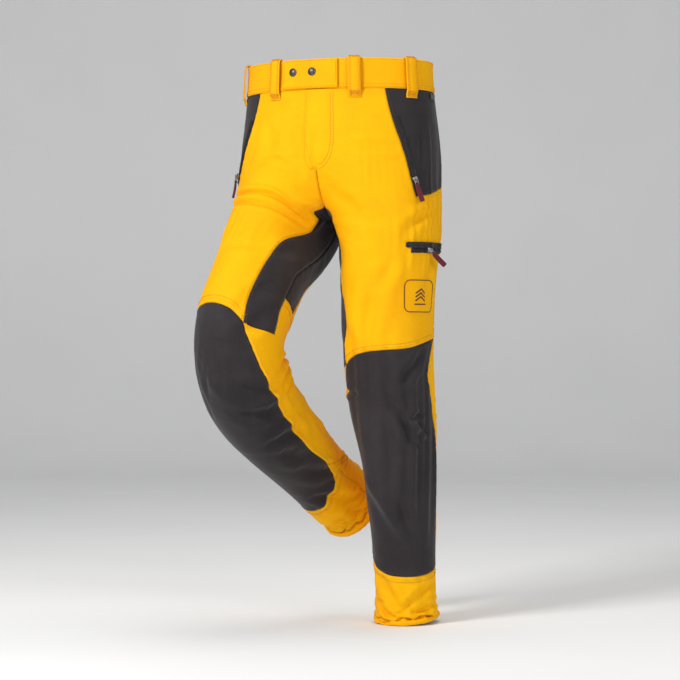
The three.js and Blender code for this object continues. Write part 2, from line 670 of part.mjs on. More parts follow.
// ---------------------------------------------------------------- zips
const zipFoot = OUTSIDE + 1.1;
function zipChainOutline() {
  const w = ZIP_WIDTH / 2;
  const t = ZIP_TAPE / 2;
  return [
    [0, -t], [ZIP_TAPE_CLOTH, -t], [ZIP_TAPE_CLOTH, -w], [ZIP_RISE, -w],
    [ZIP_RISE, w], [ZIP_TAPE_CLOTH, w], [ZIP_TAPE_CLOTH, t], [0, t],
  ];
}
function sliderBody() {
  const w = ZIP_WIDTH / 2 + SLIDER_GAP;
  const o = SLIDER_WIDTH / 2;
  const low = ZIP_TAPE_CLOTH + SLIDER_GAP;
  const roof = ZIP_RISE + SLIDER_GAP;
  return strip(
    [[low, -o], [SLIDER_RISE, -o], [SLIDER_RISE, o], [low, o], [low, w], [roof, w], [roof, -w], [low, -w]],
    SLIDER_LENGTH,
  );
}
function sliderGeometry() {
  const b = LUG_BORE / 2;
  const l = LUG_SIZE / 2;
  const lug = strip(
    [[-0.2, -l], [LUG_SIZE - 0.5, -l], [LUG_SIZE - 0.5, l], [-0.2, l]],
    2.4,
    [[[0.8, -b], [0.8, b], [0.8 + LUG_BORE, b], [0.8 + LUG_BORE, -b]]],
  );
  lug.rotateX(Math.PI / 2).translate(SLIDER_RISE, 0, 0);
  return geometryOf(solid(sliderBody()).add(solid(lug)));
}
// The ring lies flat over the slider, running towards -Z from the lug; its ribbon droops by some degrees.
function pullGeometry(droop = 0) {
  const eye = SLIDER_RISE + 0.8 + LUG_BORE / 2;
  const half = RING_WIDTH / 2;
  const h = RING_WIRE / 2;
  const inner = half - RING_WIRE;
  const corners = (x, low, high) =>
    [[-x, low], [x, low], [x, high], [-x, high]].map((p) => new THREE.Vector2(...p));
  const ringShape = new THREE.Shape(corners(half, -h, RING_LENGTH));
  ringShape.holes.push(new THREE.Path(corners(inner, h, RING_LENGTH - RING_WIRE)));
  const ring = new THREE.ExtrudeGeometry(ringShape, { depth: RING_WIRE, bevelEnabled: false });
  ring.translate(0, 0, -RING_WIRE / 2);
  const ribbon = new THREE.BoxGeometry(PULL_WIDTH, PULL_LENGTH, PULL_CLOTH);
  ribbon.translate(0, PULL_LENGTH / 2 - 1, 0).rotateZ(degToRad(droop)).translate(0, RING_LENGTH - RING_WIRE, 0);
  const made = geometryOf(solid(ring).add(solid(ribbon)));
  // Outline plane (x across, y along the pull) to the slider's frame: across = Y, along the pull = -Z, up = X.
  const basis = new THREE.Matrix4().makeBasis(
    new THREE.Vector3(0, 1, 0),
    new THREE.Vector3(0, 0, -1),
    new THREE.Vector3(-1, 0, 0),
  );
  made.applyMatrix4(basis);
  return made.translate(eye, 0, 0);
}

// A straight zip laid over the skin from a to b (phi, v), raised until it clears the cloth under it. The slider
// rests a share of the zip's length up from b.
function straightZip(pose, a, b, rest, under) {
  const A = skin(pose, a[0], a[1], zipFoot);
  const B = skin(pose, b[0], b[1], zipFoot);
  const along = A.clone().sub(B).normalize();
  const out = new THREE.Vector3().setFromMatrixColumn(place(pose, (a[0] + b[0]) / 2, (a[1] + b[1]) / 2), 0);
  out.addScaledVector(along, -along.dot(out)).normalize();
  const length = A.distanceTo(B);
  const frame = (share, lift) =>
    new THREE.Matrix4()
      .makeBasis(out, along.clone().cross(out), along)
      .setPosition(B.clone().addScaledVector(along, length * share).addScaledVector(out, lift));
  const laid = (lift) => strip(zipChainOutline(), length).applyMatrix4(frame(0.5, lift));
  const cloths = under.map((name) => solids.get(name));
  let lift = -2;
  while (cloths.some((one) => solid(laid(lift)).intersect(one).volume() > 0)) lift += 0.2;
  lift += SEAT_GAP / 2;
  return { chain: laid(lift), frame: frame(rest, lift) };
}
const zips = {
  L: { pose: POSE.left, a: [45.2, 92], b: [59.5, 236], rest: 0.1 },
  R: { pose: POSE.right, a: [45.2, 92], b: [59.5, 236], rest: 0.1 },
};
for (const [tag, zip] of Object.entries(zips)) {
  const under = [`side_panel_${tag}`, `front_panel_${tag}`];
  const { chain, frame } = straightZip(zip.pose, zip.a, zip.b, zip.rest, under);
  add(`pocket_${tag}_zip`, chain, CHARCOAL);
  add(`pocket_${tag}_slider`, sliderGeometry().applyMatrix4(frame), STEEL, 0.4, 0.9);
  add(`pocket_${tag}_pull`, pullGeometry().applyMatrix4(frame), BURGUNDY);
}

// The fly's zip runs behind the fronts, with a shield between it and the wearer.
const flyFoot = -CLOTH / 2 - SEAT_GAP - SLIDER_RISE - 0.35;
const flyTop = skin(POSE.left, 0.5, 64, flyFoot);
const flyEnd = skin(POSE.left, 0.5, FLY_DEPTH - 72, flyFoot);
const flyAlong = flyTop.clone().sub(flyEnd).setX(0).normalize();
const flyOut = new THREE.Vector3(0, -flyAlong.z, flyAlong.y);
const flyMiddle = flyTop.clone().add(flyEnd).multiplyScalar(0.5).setX(0);
const flyLength = flyTop.distanceTo(flyEnd);
const flyTape = new THREE.Matrix4().makeBasis(flyOut, flyAlong.clone().cross(flyOut), flyAlong).setPosition(flyMiddle);
add("fly_zip", strip(zipChainOutline(), flyLength).applyMatrix4(flyTape), CHARCOAL);
const flyRest = flyTape.clone().setPosition(flyMiddle.clone().addScaledVector(flyAlong, flyLength * 0.44));
add("fly_slider", sliderBody().applyMatrix4(flyRest), STEEL, 0.4, 0.9);
const shieldLayer = [flyFoot - 3.6 - CLOTH, flyFoot - 3.6];
add("fly_shield", block(POSE.left, [-9, 9], [BAND_HEIGHT + 4, FLY_DEPTH - 62], [6, 5], shieldLayer), YELLOW);

// ---------------------------------------------------------------- thigh pocket
// Its zip follows a circle fitted to three places on the thigh, so that its slider turns about the circle's axis.
function circleThrough(a, b, c) {
  const ab = b.clone().sub(a);
  const ac = c.clone().sub(a);
  const axis = ab.clone().cross(ac);
  const centre = axis.clone().cross(ab).multiplyScalar(ac.lengthSq());
  centre.add(ac.clone().cross(axis).multiplyScalar(ab.lengthSq())).divideScalar(2 * axis.lengthSq()).add(a);
  return { centre, axis: axis.normalize() };
}
const cargoPoints = CARGO_ZIP.phi.map((phi) => skin(POSE.left, phi, CARGO_ZIP.v, zipFoot));
const cargoCircle = circleThrough(...cargoPoints);
const [cargoStart, , cargoEnd] = cargoPoints.map((p) => p.clone().sub(cargoCircle.centre));
const cargoSweep = cargoStart.angleTo(cargoEnd);
function onCargoCircle(angle, rise, across) {
  const spoke = cargoPoints[0].clone().sub(cargoCircle.centre).applyAxisAngle(cargoCircle.axis, angle);
  const out = spoke.clone().normalize();
  return spoke.add(cargoCircle.centre).addScaledVector(out, rise).addScaledVector(cargoCircle.axis, across);
}
function cargoChain(steps = 16) {
  const layer = (rise) => {
    const rows = [];
    for (let i = 0; i <= steps; i++)
      rows.push([-1, 1].map((k) => onCargoCircle((cargoSweep * i) / steps, rise, (k * ZIP_WIDTH) / 2)));
    return rows;
  };
  return closedGrid(layer(ZIP_RISE), layer(0), true);
}
add("cargo_zip", cargoChain(), CHARCOAL);
const cargoRest = 0.36 * cargoSweep;
const cargoOut = onCargoCircle(cargoRest, 1, 0).sub(onCargoCircle(cargoRest, 0, 0));
const cargoAlong = cargoCircle.axis.clone().cross(cargoOut).negate();
const cargoFrame = new THREE.Matrix4()
  .makeBasis(cargoOut, cargoAlong.clone().cross(cargoOut), cargoAlong)
  .setPosition(onCargoCircle(cargoRest, 0.25, 0));
add("cargo_slider", sliderGeometry().applyMatrix4(cargoFrame), STEEL, 0.4, 0.9);
add("cargo_pull", pullGeometry(CARGO_PULL_DROOP).applyMatrix4(cargoFrame), BURGUNDY);
const cargoWeltSides = [OUTSIDE + 0.3, OUTSIDE + 0.3 + CARGO.cloth];
add("cargo_welt", block(POSE.left, CARGO.phi, CARGO.v, [14, 1], cargoWeltSides), CHARCOAL);
const bagLayer = [INSIDE - BAG_CLOTH - 0.3, INSIDE - 0.3];
add("cargo_bag", block(POSE.left, CARGO_BAG.phi, CARGO_BAG.v, [7, 6], bagLayer), CHARCOAL);
for (const [tag, pose] of [["L", POSE.left], ["R", POSE.right]]) {
  add(`pocket_${tag}_bag`, block(pose, POCKET_BAG.phi, POCKET_BAG.v, [5, 7], bagLayer), CHARCOAL);
}

// ---------------------------------------------------------------- badge and tag
function roundedBlock(pose, { phi: [phi0, phi1], v: [v0, v1], corner }, counts, offsets) {
  const inset = (t) => {
    const d = Math.min(t, 1 - t) * (v1 - v0);
    if (d >= corner) return 0;
    return ((corner - Math.sqrt(corner ** 2 - (corner - d) ** 2)) / halfWidth(v0)) * 45;
  };
  const edges = {
    top: seam([phi0 + inset(0), v0], [phi1 - inset(0), v0]),
    bottom: seam([phi0 + inset(1), v1], [phi1 - inset(1), v1]),
    front: (t) => [phi0 + inset(t), lerp(v0, v1, t)],
    back: (t) => [phi1 - inset(t), lerp(v0, v1, t)],
  };
  return patch(pose, edges, counts, offsets);
}
const badgeLayer = [OUTSIDE + 0.2, OUTSIDE + 0.2 + BADGE.cloth];
add("thigh_badge", roundedBlock(POSE.left, BADGE, [10, 12], badgeLayer), BURGUNDY);
add("hip_tag", block(POSE.left, HIP_TAG.phi, HIP_TAG.v, [2, 1], [OUTSIDE + 0.3, OUTSIDE + 1.1]), CHARCOAL);

export default group;
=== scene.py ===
"""Protective work trousers in a stepping pose: yellow and charcoal softshell, zipped pockets, press-stud
waistband.

The garment is one continuous skin that is laid on a hidden body as cloth, then cut into its sewn panels.
A place on the skin is (phi, v): phi in degrees round one half (0 centre front or inseam, 90 outer side,
180 centre back or inseam again), v in millimetres down from the waistband's top edge. Lengths are in
millimetres until a mesh is made.
"""

import math

import bpy
import numpy as np
from mathutils import Matrix, Vector


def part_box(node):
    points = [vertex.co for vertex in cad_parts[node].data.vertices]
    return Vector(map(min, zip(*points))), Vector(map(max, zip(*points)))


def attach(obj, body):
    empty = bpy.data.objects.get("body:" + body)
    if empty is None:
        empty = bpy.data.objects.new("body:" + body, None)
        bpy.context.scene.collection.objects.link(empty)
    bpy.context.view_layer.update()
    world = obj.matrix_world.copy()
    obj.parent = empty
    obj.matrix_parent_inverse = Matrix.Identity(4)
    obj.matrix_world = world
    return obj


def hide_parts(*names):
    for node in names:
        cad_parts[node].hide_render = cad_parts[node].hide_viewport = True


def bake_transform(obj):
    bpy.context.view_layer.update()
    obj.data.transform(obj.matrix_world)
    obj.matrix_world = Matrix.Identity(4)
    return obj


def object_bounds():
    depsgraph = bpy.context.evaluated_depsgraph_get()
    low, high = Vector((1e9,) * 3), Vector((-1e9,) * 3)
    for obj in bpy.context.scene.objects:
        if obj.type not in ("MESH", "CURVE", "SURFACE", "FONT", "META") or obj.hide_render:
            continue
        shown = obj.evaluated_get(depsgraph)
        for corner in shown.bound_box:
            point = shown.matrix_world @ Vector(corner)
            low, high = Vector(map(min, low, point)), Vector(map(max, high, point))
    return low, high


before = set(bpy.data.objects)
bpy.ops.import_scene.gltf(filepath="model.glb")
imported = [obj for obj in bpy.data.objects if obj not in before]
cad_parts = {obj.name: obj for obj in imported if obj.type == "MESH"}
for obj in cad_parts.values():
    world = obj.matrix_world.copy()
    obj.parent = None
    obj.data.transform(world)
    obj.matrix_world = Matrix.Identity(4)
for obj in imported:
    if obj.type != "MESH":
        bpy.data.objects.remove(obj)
cad_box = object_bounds()

MM = 0.001
HALVES = ("L", "R")

# ---------------------------------------------------------------- camera
CAMERA_AZIMUTH = math.radians(22)
CAMERA_DISTANCE = 4.2
CAMERA_HEIGHT = -0.52
VIEW_WIDTH = 1.292

camera_data = bpy.data.cameras.new("camera")
camera_data.sensor_width = 36
camera_data.lens = 36 * CAMERA_DISTANCE / VIEW_WIDTH
camera = bpy.data.objects.new("camera", camera_data)
bpy.context.collection.objects.link(camera)
back = Vector((math.sin(CAMERA_AZIMUTH), -math.cos(CAMERA_AZIMUTH), 0))
camera.location = back * CAMERA_DISTANCE + Vector((0, 0, CAMERA_HEIGHT))
camera.rotation_euler = (math.radians(90), 0, CAMERA_AZIMUTH)
bpy.context.scene.camera = camera

# ---------------------------------------------------------------- the skin's sections
CROTCH = 283
KNEE = 640
OUTSEAM = 1050
THIGH = KNEE - CROTCH
HIP_PIVOT = 215
KNEE_BEND = 214
BEND = KNEE - 28
POSES = {
    "L": {"side": 1, "lift": 0.0, "knee": 7.0, "turn": 0.0, "spread": 3.6, "zone": (540, 740), "tuck": 8},
    "R": {"side": -1, "lift": 33.8, "knee": 85.0, "turn": 14.5, "spread": 5.0, "zone": (283, 640), "tuck": 0},
}
CUT_POSES = {
    "L": {"side": 1, "lift": 0.0, "knee": 4.0, "turn": 0.0, "spread": 3.6, "zone": (540, 740), "tuck": 8},
    "R": {"side": -1, "lift": 26.0, "knee": 62.0, "turn": 11.0, "spread": 5.0, "zone": (283, 640), "tuck": 0},
}


def smooth(x):
    x = np.clip(x, 0, 1)
    return x * x * (3 - 2 * x)


def stations(points):
    """A smooth curve through (v, value) stations, level past its ends."""
    at = np.array([p[0] for p in points], float)
    y = np.array([p[1] for p in points], float)
    slope = np.zeros(len(at))
    for i in range(1, len(at) - 1):
        before = (y[i] - y[i - 1]) / (at[i] - at[i - 1])
        after = (y[i + 1] - y[i]) / (at[i + 1] - at[i])
        slope[i] = 0 if before * after <= 0 else 2 * before * after / (before + after)

    def curve(v):
        v = np.clip(np.asarray(v, float), at[0], at[-1])
        i = np.clip(np.searchsorted(at, v, side="right") - 1, 0, len(at) - 2)
        h = at[i + 1] - at[i]
        t = (v - at[i]) / h
        a = y[i] * (2 * t**3 - 3 * t**2 + 1) + slope[i] * h * (t**3 - 2 * t**2 + t)
        return a + y[i + 1] * (3 * t**2 - 2 * t**3) + slope[i + 1] * h * (t**3 - t**2)

    return curve


MID_THIGH = CROTCH + 0.42 * THIGH
SHIN = OUTSEAM - KNEE
CALF = KNEE + 0.25 * SHIN
ANKLE = KNEE + 0.75 * SHIN
outer_half_width = stations([(0, 180), (190, 196), (CROTCH, 196)])
leg_half_width = stations(
    [(CROTCH, 98), (MID_THIGH, 85), (KNEE, 80), (CALF, 68), (ANKLE, 56), (OUTSEAM, 60)]
)
LEG_DEPTHS = [(MID_THIGH, 98), (KNEE, 90), (CALF, 84), (ANKLE, 66), (OUTSEAM, 70)]
front_depth = stations([(0, 121), (190, 126), (CROTCH, 108)] + LEG_DEPTHS)
back_depth = stations([(0, 121), (190, 140), (CROTCH + 30, 120)] + LEG_DEPTHS)


def parting(v):
    return np.where(v >= CROTCH, 1.0, (np.clip(v, 0, CROTCH) / CROTCH) ** 3.2)


def half_width(v):
    return np.where(v >= CROTCH, leg_half_width(v), outer_half_width(v) / (1 + parting(v)))


def bend_share(v):
    t = np.clip((v - BEND) / KNEE_BEND + 0.5, 0, 1)
    return t + 0.4 * (smooth(t) - t)


def centre_line(pose, v):
    """How far the leg's centre lies back and down at v, before the thigh is lifted."""
    steps = np.arange(-60, OUTSEAM + 62, 2.0)
    pitch = np.radians(pose["knee"]) * bend_share(steps + 1)
    y = np.concatenate([[0], np.cumsum(np.sin(pitch) * 2)[:-1]])
    z = -np.concatenate([[0], np.cumsum(np.cos(pitch) * 2)[:-1]]) + 60
    return np.interp(v, steps, y), np.interp(v, steps, z)


def bare(pose, phi, v):
    """Places on the smooth skin of one half, with +X towards its outer side."""
    phi, v = np.broadcast_arrays(np.asarray(phi, float), np.asarray(v, float))
    p = (phi - 90) / 90
    extra = np.arccos(-parting(v)) - math.pi / 2
    angle = math.pi / 2 * p + np.sign(p) * extra * p * p
    turn = np.radians(pose["turn"]) * smooth((v - CROTCH) / (THIGH - KNEE_BEND / 2))
    pitch = np.radians(pose["knee"]) * bend_share(v)
    y, z = centre_line(pose, v)
    width = half_width(v)
    clear = 98 + 3 * smooth((v - CROTCH) / 60) - pose["tuck"] * smooth((v - CROTCH - 20) / 120)
    apart = np.where(v < CROTCH, parting(v) * width, clear)
    low, high = pose["zone"]
    down = np.clip((v - low) / (high - low), 0, 1)
    apart = apart + THIGH * math.tan(math.radians(pose["spread"])) * (down + smooth(down)) / 2
    depth = np.where(angle < 0, front_depth(v), back_depth(v)) * np.sin(angle)
    across = width * np.cos(angle)
    back_level = y + depth * np.cos(pitch)
    point = np.stack(
        [
            apart - np.sin(turn) * back_level + np.cos(turn) * across,
            np.cos(turn) * back_level + np.sin(turn) * across,
            z + depth * np.sin(pitch),
        ],
        axis=-1,
    )
    aside = smooth(np.abs(point[..., 0]) / 90)
    start = CROTCH - 2 + aside * (102 - CROTCH)
    end = CROTCH + 175 - aside * 65
    lift = np.radians(pose["lift"]) * smooth((v - start) / (end - start))
    y, z = point[..., 1].copy(), point[..., 2] + HIP_PIVOT
    point[..., 1] = np.cos(lift) * y + np.sin(lift) * z
    point[..., 2] = -np.sin(lift) * y + np.cos(lift) * z - HIP_PIVOT
    return point


# ---------------------------------------------------------------- the cloth, laid on a hidden body
ROWS = 150
COLUMNS = 72
ROW_V = np.concatenate(
    [np.linspace(0, CROTCH - 3, 41), np.linspace(CROTCH + 3, OUTSEAM, ROWS - 41)]
)
COLUMN_PHI = np.linspace(0, 180, COLUMNS + 1)


def skin_numbers():
    """Vertex numbers of the skin's grid, with the halves joined at the centre and each leg closed at its
    inseam.
    """
    numbers = np.zeros((2, ROWS, COLUMNS + 1), int)
    count = 0
    for half in range(2):
        for i in range(ROWS):
            above = ROW_V[i] < CROTCH
            for j in range(COLUMNS + 1):
                if half and above and j in (0, COLUMNS):
                    numbers[half, i, j] = numbers[0, i, j]
                elif not above and j == COLUMNS:
                    numbers[half, i, j] = numbers[half, i, 0]
                else:
                    numbers[half, i, j] = count
                    count += 1
    return numbers, count


NUMBERS, VERTEX_COUNT = skin_numbers()


def skin_grid(poses, inwards=None):
    """The smooth skin at every grid place of both halves, moved inwards by a depth that varies down the leg."""
    grid = np.zeros((2, ROWS, COLUMNS + 1, 3))
    for half, name in enumerate(HALVES):
        pose = poses[name]
        phi, v = np.meshgrid(COLUMN_PHI, ROW_V)
        point = bare(pose, phi, v)
        if inwards is not None:
            around = bare(pose, np.clip(phi + 0.5, 0, 180), v) - bare(pose, np.clip(phi - 0.5, 0, 180), v)
            down = bare(pose, phi, v + 1) - bare(pose, phi, v - 1)
            normal = np.cross(down, around)
            normal /= np.linalg.norm(normal, axis=-1, keepdims=True) + 1e-9
            point = point - normal * inwards(v)[..., None]
            centre = (v < CROTCH) & ((phi == 0) | (phi == 180))
            point[..., 0] = np.where(centre, 0, point[..., 0])
        point[..., 0] *= pose["side"]
        grid[half] = point
    return grid


def grid_faces():
    faces = []
    for half in range(2):
        n = NUMBERS[half]
        for i in range(ROWS - 1):
            for j in range(COLUMNS):
                quad = [n[i, j], n[i + 1, j], n[i + 1, j + 1], n[i, j + 1]]
                faces.append(quad if half == 0 else quad[::-1])
    last = 40
    faces.append(
        [NUMBERS[0, last, 0], NUMBERS[1, last + 1, 0], NUMBERS[0, last, COLUMNS], NUMBERS[0, last + 1, 0]]
    )
    return [[int(k) for k in face] for face in faces]


def grid_vertices(grid):
    flat = np.zeros((VERTEX_COUNT, 3))
    flat[NUMBERS.reshape(-1)] = grid.reshape(-1, 3)
    return flat * MM


def lay_cloth():
    """Simulates the skin as one cloth, cut for straighter knees than it is worn with, over a slightly
    smaller body.
    """
    worn = skin_grid(POSES)
    faces = grid_faces()
    gap = stations([(0, 3), (60, 3), (200, 5), (CROTCH, 7), (480, 8), (600, 8), (700, 9), (860, 12),
            (OUTSEAM, 10)])
    body_mesh = bpy.data.meshes.new("hidden_body")
    body_mesh.from_pydata(grid_vertices(skin_grid(POSES, gap)), [], faces)
    body = bpy.data.objects.new("hidden_body", body_mesh)
    bpy.context.collection.objects.link(body)
    body.modifiers.new("collision", "COLLISION")
    body.collision.thickness_outer = 0.0015
    body.collision.cloth_friction = 6

    mesh = bpy.data.meshes.new("laid_cloth")
    mesh.from_pydata(grid_vertices(worn), [], faces)
    cloth = bpy.data.objects.new("laid_cloth", mesh)
    bpy.context.collection.objects.link(cloth)
    cloth.shape_key_add(name="worn")
    cut = cloth.shape_key_add(name="cut")
    cut_grid = skin_grid(CUT_POSES)
    cut.data.foreach_set("co", grid_vertices(cut_grid).reshape(-1))
    cut.value = 0

    held = cloth.vertex_groups.new(name="held")
    for half in range(2):
        for i, v in enumerate(ROW_V):
            weight = max(1 - smooth((v - 58) / 40), 0.9 * smooth((v - OUTSEAM + 10) / 8))
            if weight > 0.01:
                held.add([int(k) for k in NUMBERS[half, i]], float(weight), "REPLACE")
    modifier = cloth.modifiers.new("cloth", "CLOTH")
    settings = modifier.settings
    settings.quality = 6
    settings.mass = 0.3
    settings.tension_stiffness = 18
    settings.compression_stiffness = 12
    settings.shear_stiffness = 6
    settings.bending_stiffness = 1.4
    settings.tension_damping = 12
    settings.compression_damping = 12
    settings.air_damping = 3
    settings.vertex_group_mass = "held"
    settings.rest_shape_key = cut
    settings.shrink_min = -0.004
    modifier.collision_settings.distance_min = 0.0015
    modifier.collision_settings.use_self_collision = False
    modifier.collision_settings.collision_quality = 3
    modifier.point_cache.frame_start = 1
    modifier.point_cache.frame_end = 40
    scene = bpy.context.scene
    for number in range(1, 29):
        scene.frame_set(number)
    evaluated = cloth.evaluated_get(bpy.context.evaluated_depsgraph_get())
    co = np.zeros(VERTEX_COUNT * 3)
    evaluated.data.vertices.foreach_get("co", co)
    scene.frame_set(1)
    laid = co.reshape(-1, 3)[NUMBERS] / MM
    for one in (cloth, body):
        data = one.data
        bpy.data.objects.remove(one)
        bpy.data.meshes.remove(data)
    shift = laid - worn
    length = np.linalg.norm(shift, axis=-1, keepdims=True)
    print("cloth moved", float(length.mean()), float(length.max()), flush=True)
    limit = 16
    return worn + shift * np.minimum(1, limit / np.maximum(length, 1e-6))


def extended(grid):
    """The grid with three more columns past each edge, from the other half or round the inseam."""
    wide = np.zeros((2, ROWS, COLUMNS + 7, 3))
    wide[:, :, 3:-3] = grid
    above = ROW_V < CROTCH
    for half in range(2):
        other = grid[1 - half]
        own = grid[half]
        for k in (1, 2, 3):
            wide[half, above, 3 - k] = other[above, k]
            wide[half, above, COLUMNS + 3 + k] = other[above, COLUMNS - k]
            wide[half, ~above, 3 - k] = own[~above, COLUMNS - k]
            wide[half, ~above, COLUMNS + 3 + k] = own[~above, k]
    return wide


def grid_normals(wide):
    around = np.zeros_like(wide)
    around[:, :, 1:-1] = wide[:, :, 2:] - wide[:, :, :-2]
    down = np.zeros_like(wide)
    down[:, 1:-1] = wide[:, 2:] - wide[:, :-2]
    down[:, 0] = wide[:, 1] - wide[:, 0]
    down[:, -1] = wide[:, -1] - wide[:, -2]
    normal = np.cross(down, around)
    normal[1] *= -1
    return normal / (np.linalg.norm(normal, axis=-1, keepdims=True) + 1e-9)


# Creases pressed into the worn cloth: half, its line of (phi, v), depth and half width in millimetres. A
# negative
# depth is a ridge.
CREASES = [
    ("R", [(68, 268), (49, 280), (31, 292), (20, 294), (9, 275)], 3.4, 7),
    ("R", [(66, 293), (42, 314), (24, 326), (14, 303)], 2.6, 6),
    ("R", [(38, 212), (26, 200), (16, 192)], 1.6, 8),
    ("R", [(62, 391), (59, 351), (58, 308)], 2.8, 8),
    ("R", [(13, 425), (11, 413), (10, 384)], 2.4, 6),
    ("R", [(16, 572), (10, 548), (7, 515)], 2.6, 6),
    ("R", [(22, 553), (15, 523), (9, 480)], 2.4, 6),
    ("R", [(41, 417), (25, 420), (17, 390)], 1.8, 8),
    ("R", [(30, 112), (28, 157), (27, 188)], 1.8, 8),
    ("R", [(11, 106), (8.5, 160), (9.5, 220)], 1.8, 7),
    ("L", [(21, 160), (39, 161), (52, 163)], 1.5, 8),
    ("L", [(10, 238), (25, 278), (36, 298)], 2.0, 8),
    ("L", [(2, 276), (8, 308), (14, 355), (9, 395)], 2.0, 8),
    ("L", [(56, 315), (64, 293), (80, 277)], 2.4, 7),
    ("L", [(41, 388), (36, 445), (31, 505)], 2.6, 8),
    ("L", [(47, 365), (44, 416)], 1.6, 6),
    ("L", [(14, 426), (16, 477), (21, 515)], 2.4, 7),
    ("L", [(44, 612), (50, 645), (55, 682), (62, 700)], 3.8, 5),
    ("L", [(53, 647), (62, 667), (76, 690)], -3.0, 4),
    ("L", [(57, 655), (62, 646), (73, 643)], 2.2, 4),
    ("L", [(37, 630), (39, 693), (41, 739)], 2.2, 9),
    ("L", [(17, 760), (31, 803), (42, 850), (54, 895)], -3.2, 7),
    ("L", [(44, 778), (47, 827), (51, 866)], 1.8, 6),
    ("L", [(52, 591), (62, 564), (74, 532)], 2.4, 6),
    ("L", [(8, 588), (12, 601), (24, 603)], 2.4, 5),
    ("L", [(20, 938), (31, 977), (41, 1012)], 2.8, 6),
    ("L", [(44, 1002), (60, 978), (92, 961)], 2.4, 6),
    ("L", [(16, 992), (26, 1017), (35, 1028)], 2.0, 5),
    ("L", [(53, 1014), (70, 1008), (100, 1001)], 2.0, 5),
    ("R", [(29, 615), (18, 635), (11, 648), (2, 657)], 4.4, 7),
    ("R", [(26, 656), (17, 671), (7, 687), (1, 705)], 3.8, 6),
    ("R", [(14, 682), (8, 701), (1, 722)], 2.6, 5),
    ("R", [(20, 721), (10, 744), (1, 775)], 3.4, 6),
    ("R", [(17, 757), (15, 795), (11, 818)], 3.2, 5),
    ("R", [(18, 821), (13, 859), (5, 891)], 2.8, 5),
    ("R", [(33, 603), (23, 613), (14, 615)], 2.2, 8),
    ("R", [(20, 683), (14, 702), (7, 720)], 2.2, 6),
    ("R", [(26, 902), (14, 945), (4, 985)], 3.8, 5),
    ("R", [(26, 948), (15, 965), (8, 984)], 3.6, 5),
    ("R", [(15, 975), (12, 1005), (10, 1025)], 2.0, 4),
    # The hollow of each knee and the seat, behind.
    ("R", [(178, 664), (150, 640), (120, 618)], 5.0, 8),
    ("R", [(178, 690), (150, 672), (118, 662)], 4.6, 8),
    ("R", [(176, 630), (152, 606), (126, 588)], 3.8, 8),
    ("R", [(164, 770), (160, 810), (150, 845)], 2.8, 6),
    ("R", [(172, 1012), (150, 985), (120, 975)], 3.0, 6),
    ("L", [(172, 640), (145, 650), (115, 640)], 3.2, 8),
    ("L", [(174, 670), (150, 682), (112, 668)], 2.8, 8),
    ("L", [(170, 612), (140, 620), (118, 606)], 2.4, 8),
    ("L", [(150, 780), (138, 850), (130, 900)], 2.4, 9),
    ("L", [(172, 300), (150, 318), (122, 312)], 2.8, 9),
    ("L", [(170, 330), (148, 352), (126, 356)], 2.2, 9),
    ("L", [(150, 200), (140, 260), (128, 330)], 1.8, 10),
    ("R", [(172, 296), (150, 300), (122, 288)], 2.2, 9),
    ("R", [(150, 200), (142, 250), (134, 320)], 1.8, 10),
    ("L", [(96, 300), (84, 380), (76, 440)], 1.8, 9),
    ("R", [(92, 300), (88, 380), (84, 470)], 2.0, 9),
    ("L", [(70, 110), (68, 160), (66, 215)], 1.6, 7),
    ("R", [(74, 120), (70, 170), (68, 215)], 1.6, 7),
]


def segment_distance(x, y, line):
    """Distance from places to a broken line, and the share of the line's length at the nearest place."""
    best = np.full(x.shape, 1e6)
    share = np.zeros(x.shape)
    run = np.concatenate([[0], np.cumsum(np.hypot(*np.diff(line, axis=0).T))])
    for (ax, ay), (bx, by), start in zip(line[:-1], line[1:], run[:-1]):
        length = math.hypot(bx - ax, by - ay)
        t = np.clip(((x - ax) * (bx - ax) + (y - ay) * (by - ay)) / length**2, 0, 1)
        gap = np.hypot(x - ax - t * (bx - ax), y - ay - t * (by - ay))
        share = np.where(gap < best, (start + t * length) / run[-1], share)
        best = np.minimum(best, gap)
    return best, share


def crease_depth(half, phi, v, wide):
    """How far the creases push the cloth out at places on one half. wide is the real length of one degree."""
    depth = np.zeros(phi.shape)
    for side, points, deep, width in CREASES:
        if side != half:
            continue
        middle = np.mean([p[1] for p in points])
        scale = float(np.interp(middle, v[:, 0], wide))
        line = curve_through(points, 24) * [scale, 1]
        gap, share = segment_distance(phi * scale, v, line)
        # A crease wanders a little and fades towards both ends; the cloth beside it swells.
        taper = np.sin(math.pi * np.clip(share * 0.94 + 0.03, 0, 1)) ** 0.7
        near = gap / (width * (0.75 + 0.25 * taper))
        depth += -2.1 * deep * taper * (np.exp(-(near**2)) - 0.55 * np.exp(-((near - 2.0) ** 2)))
    return depth


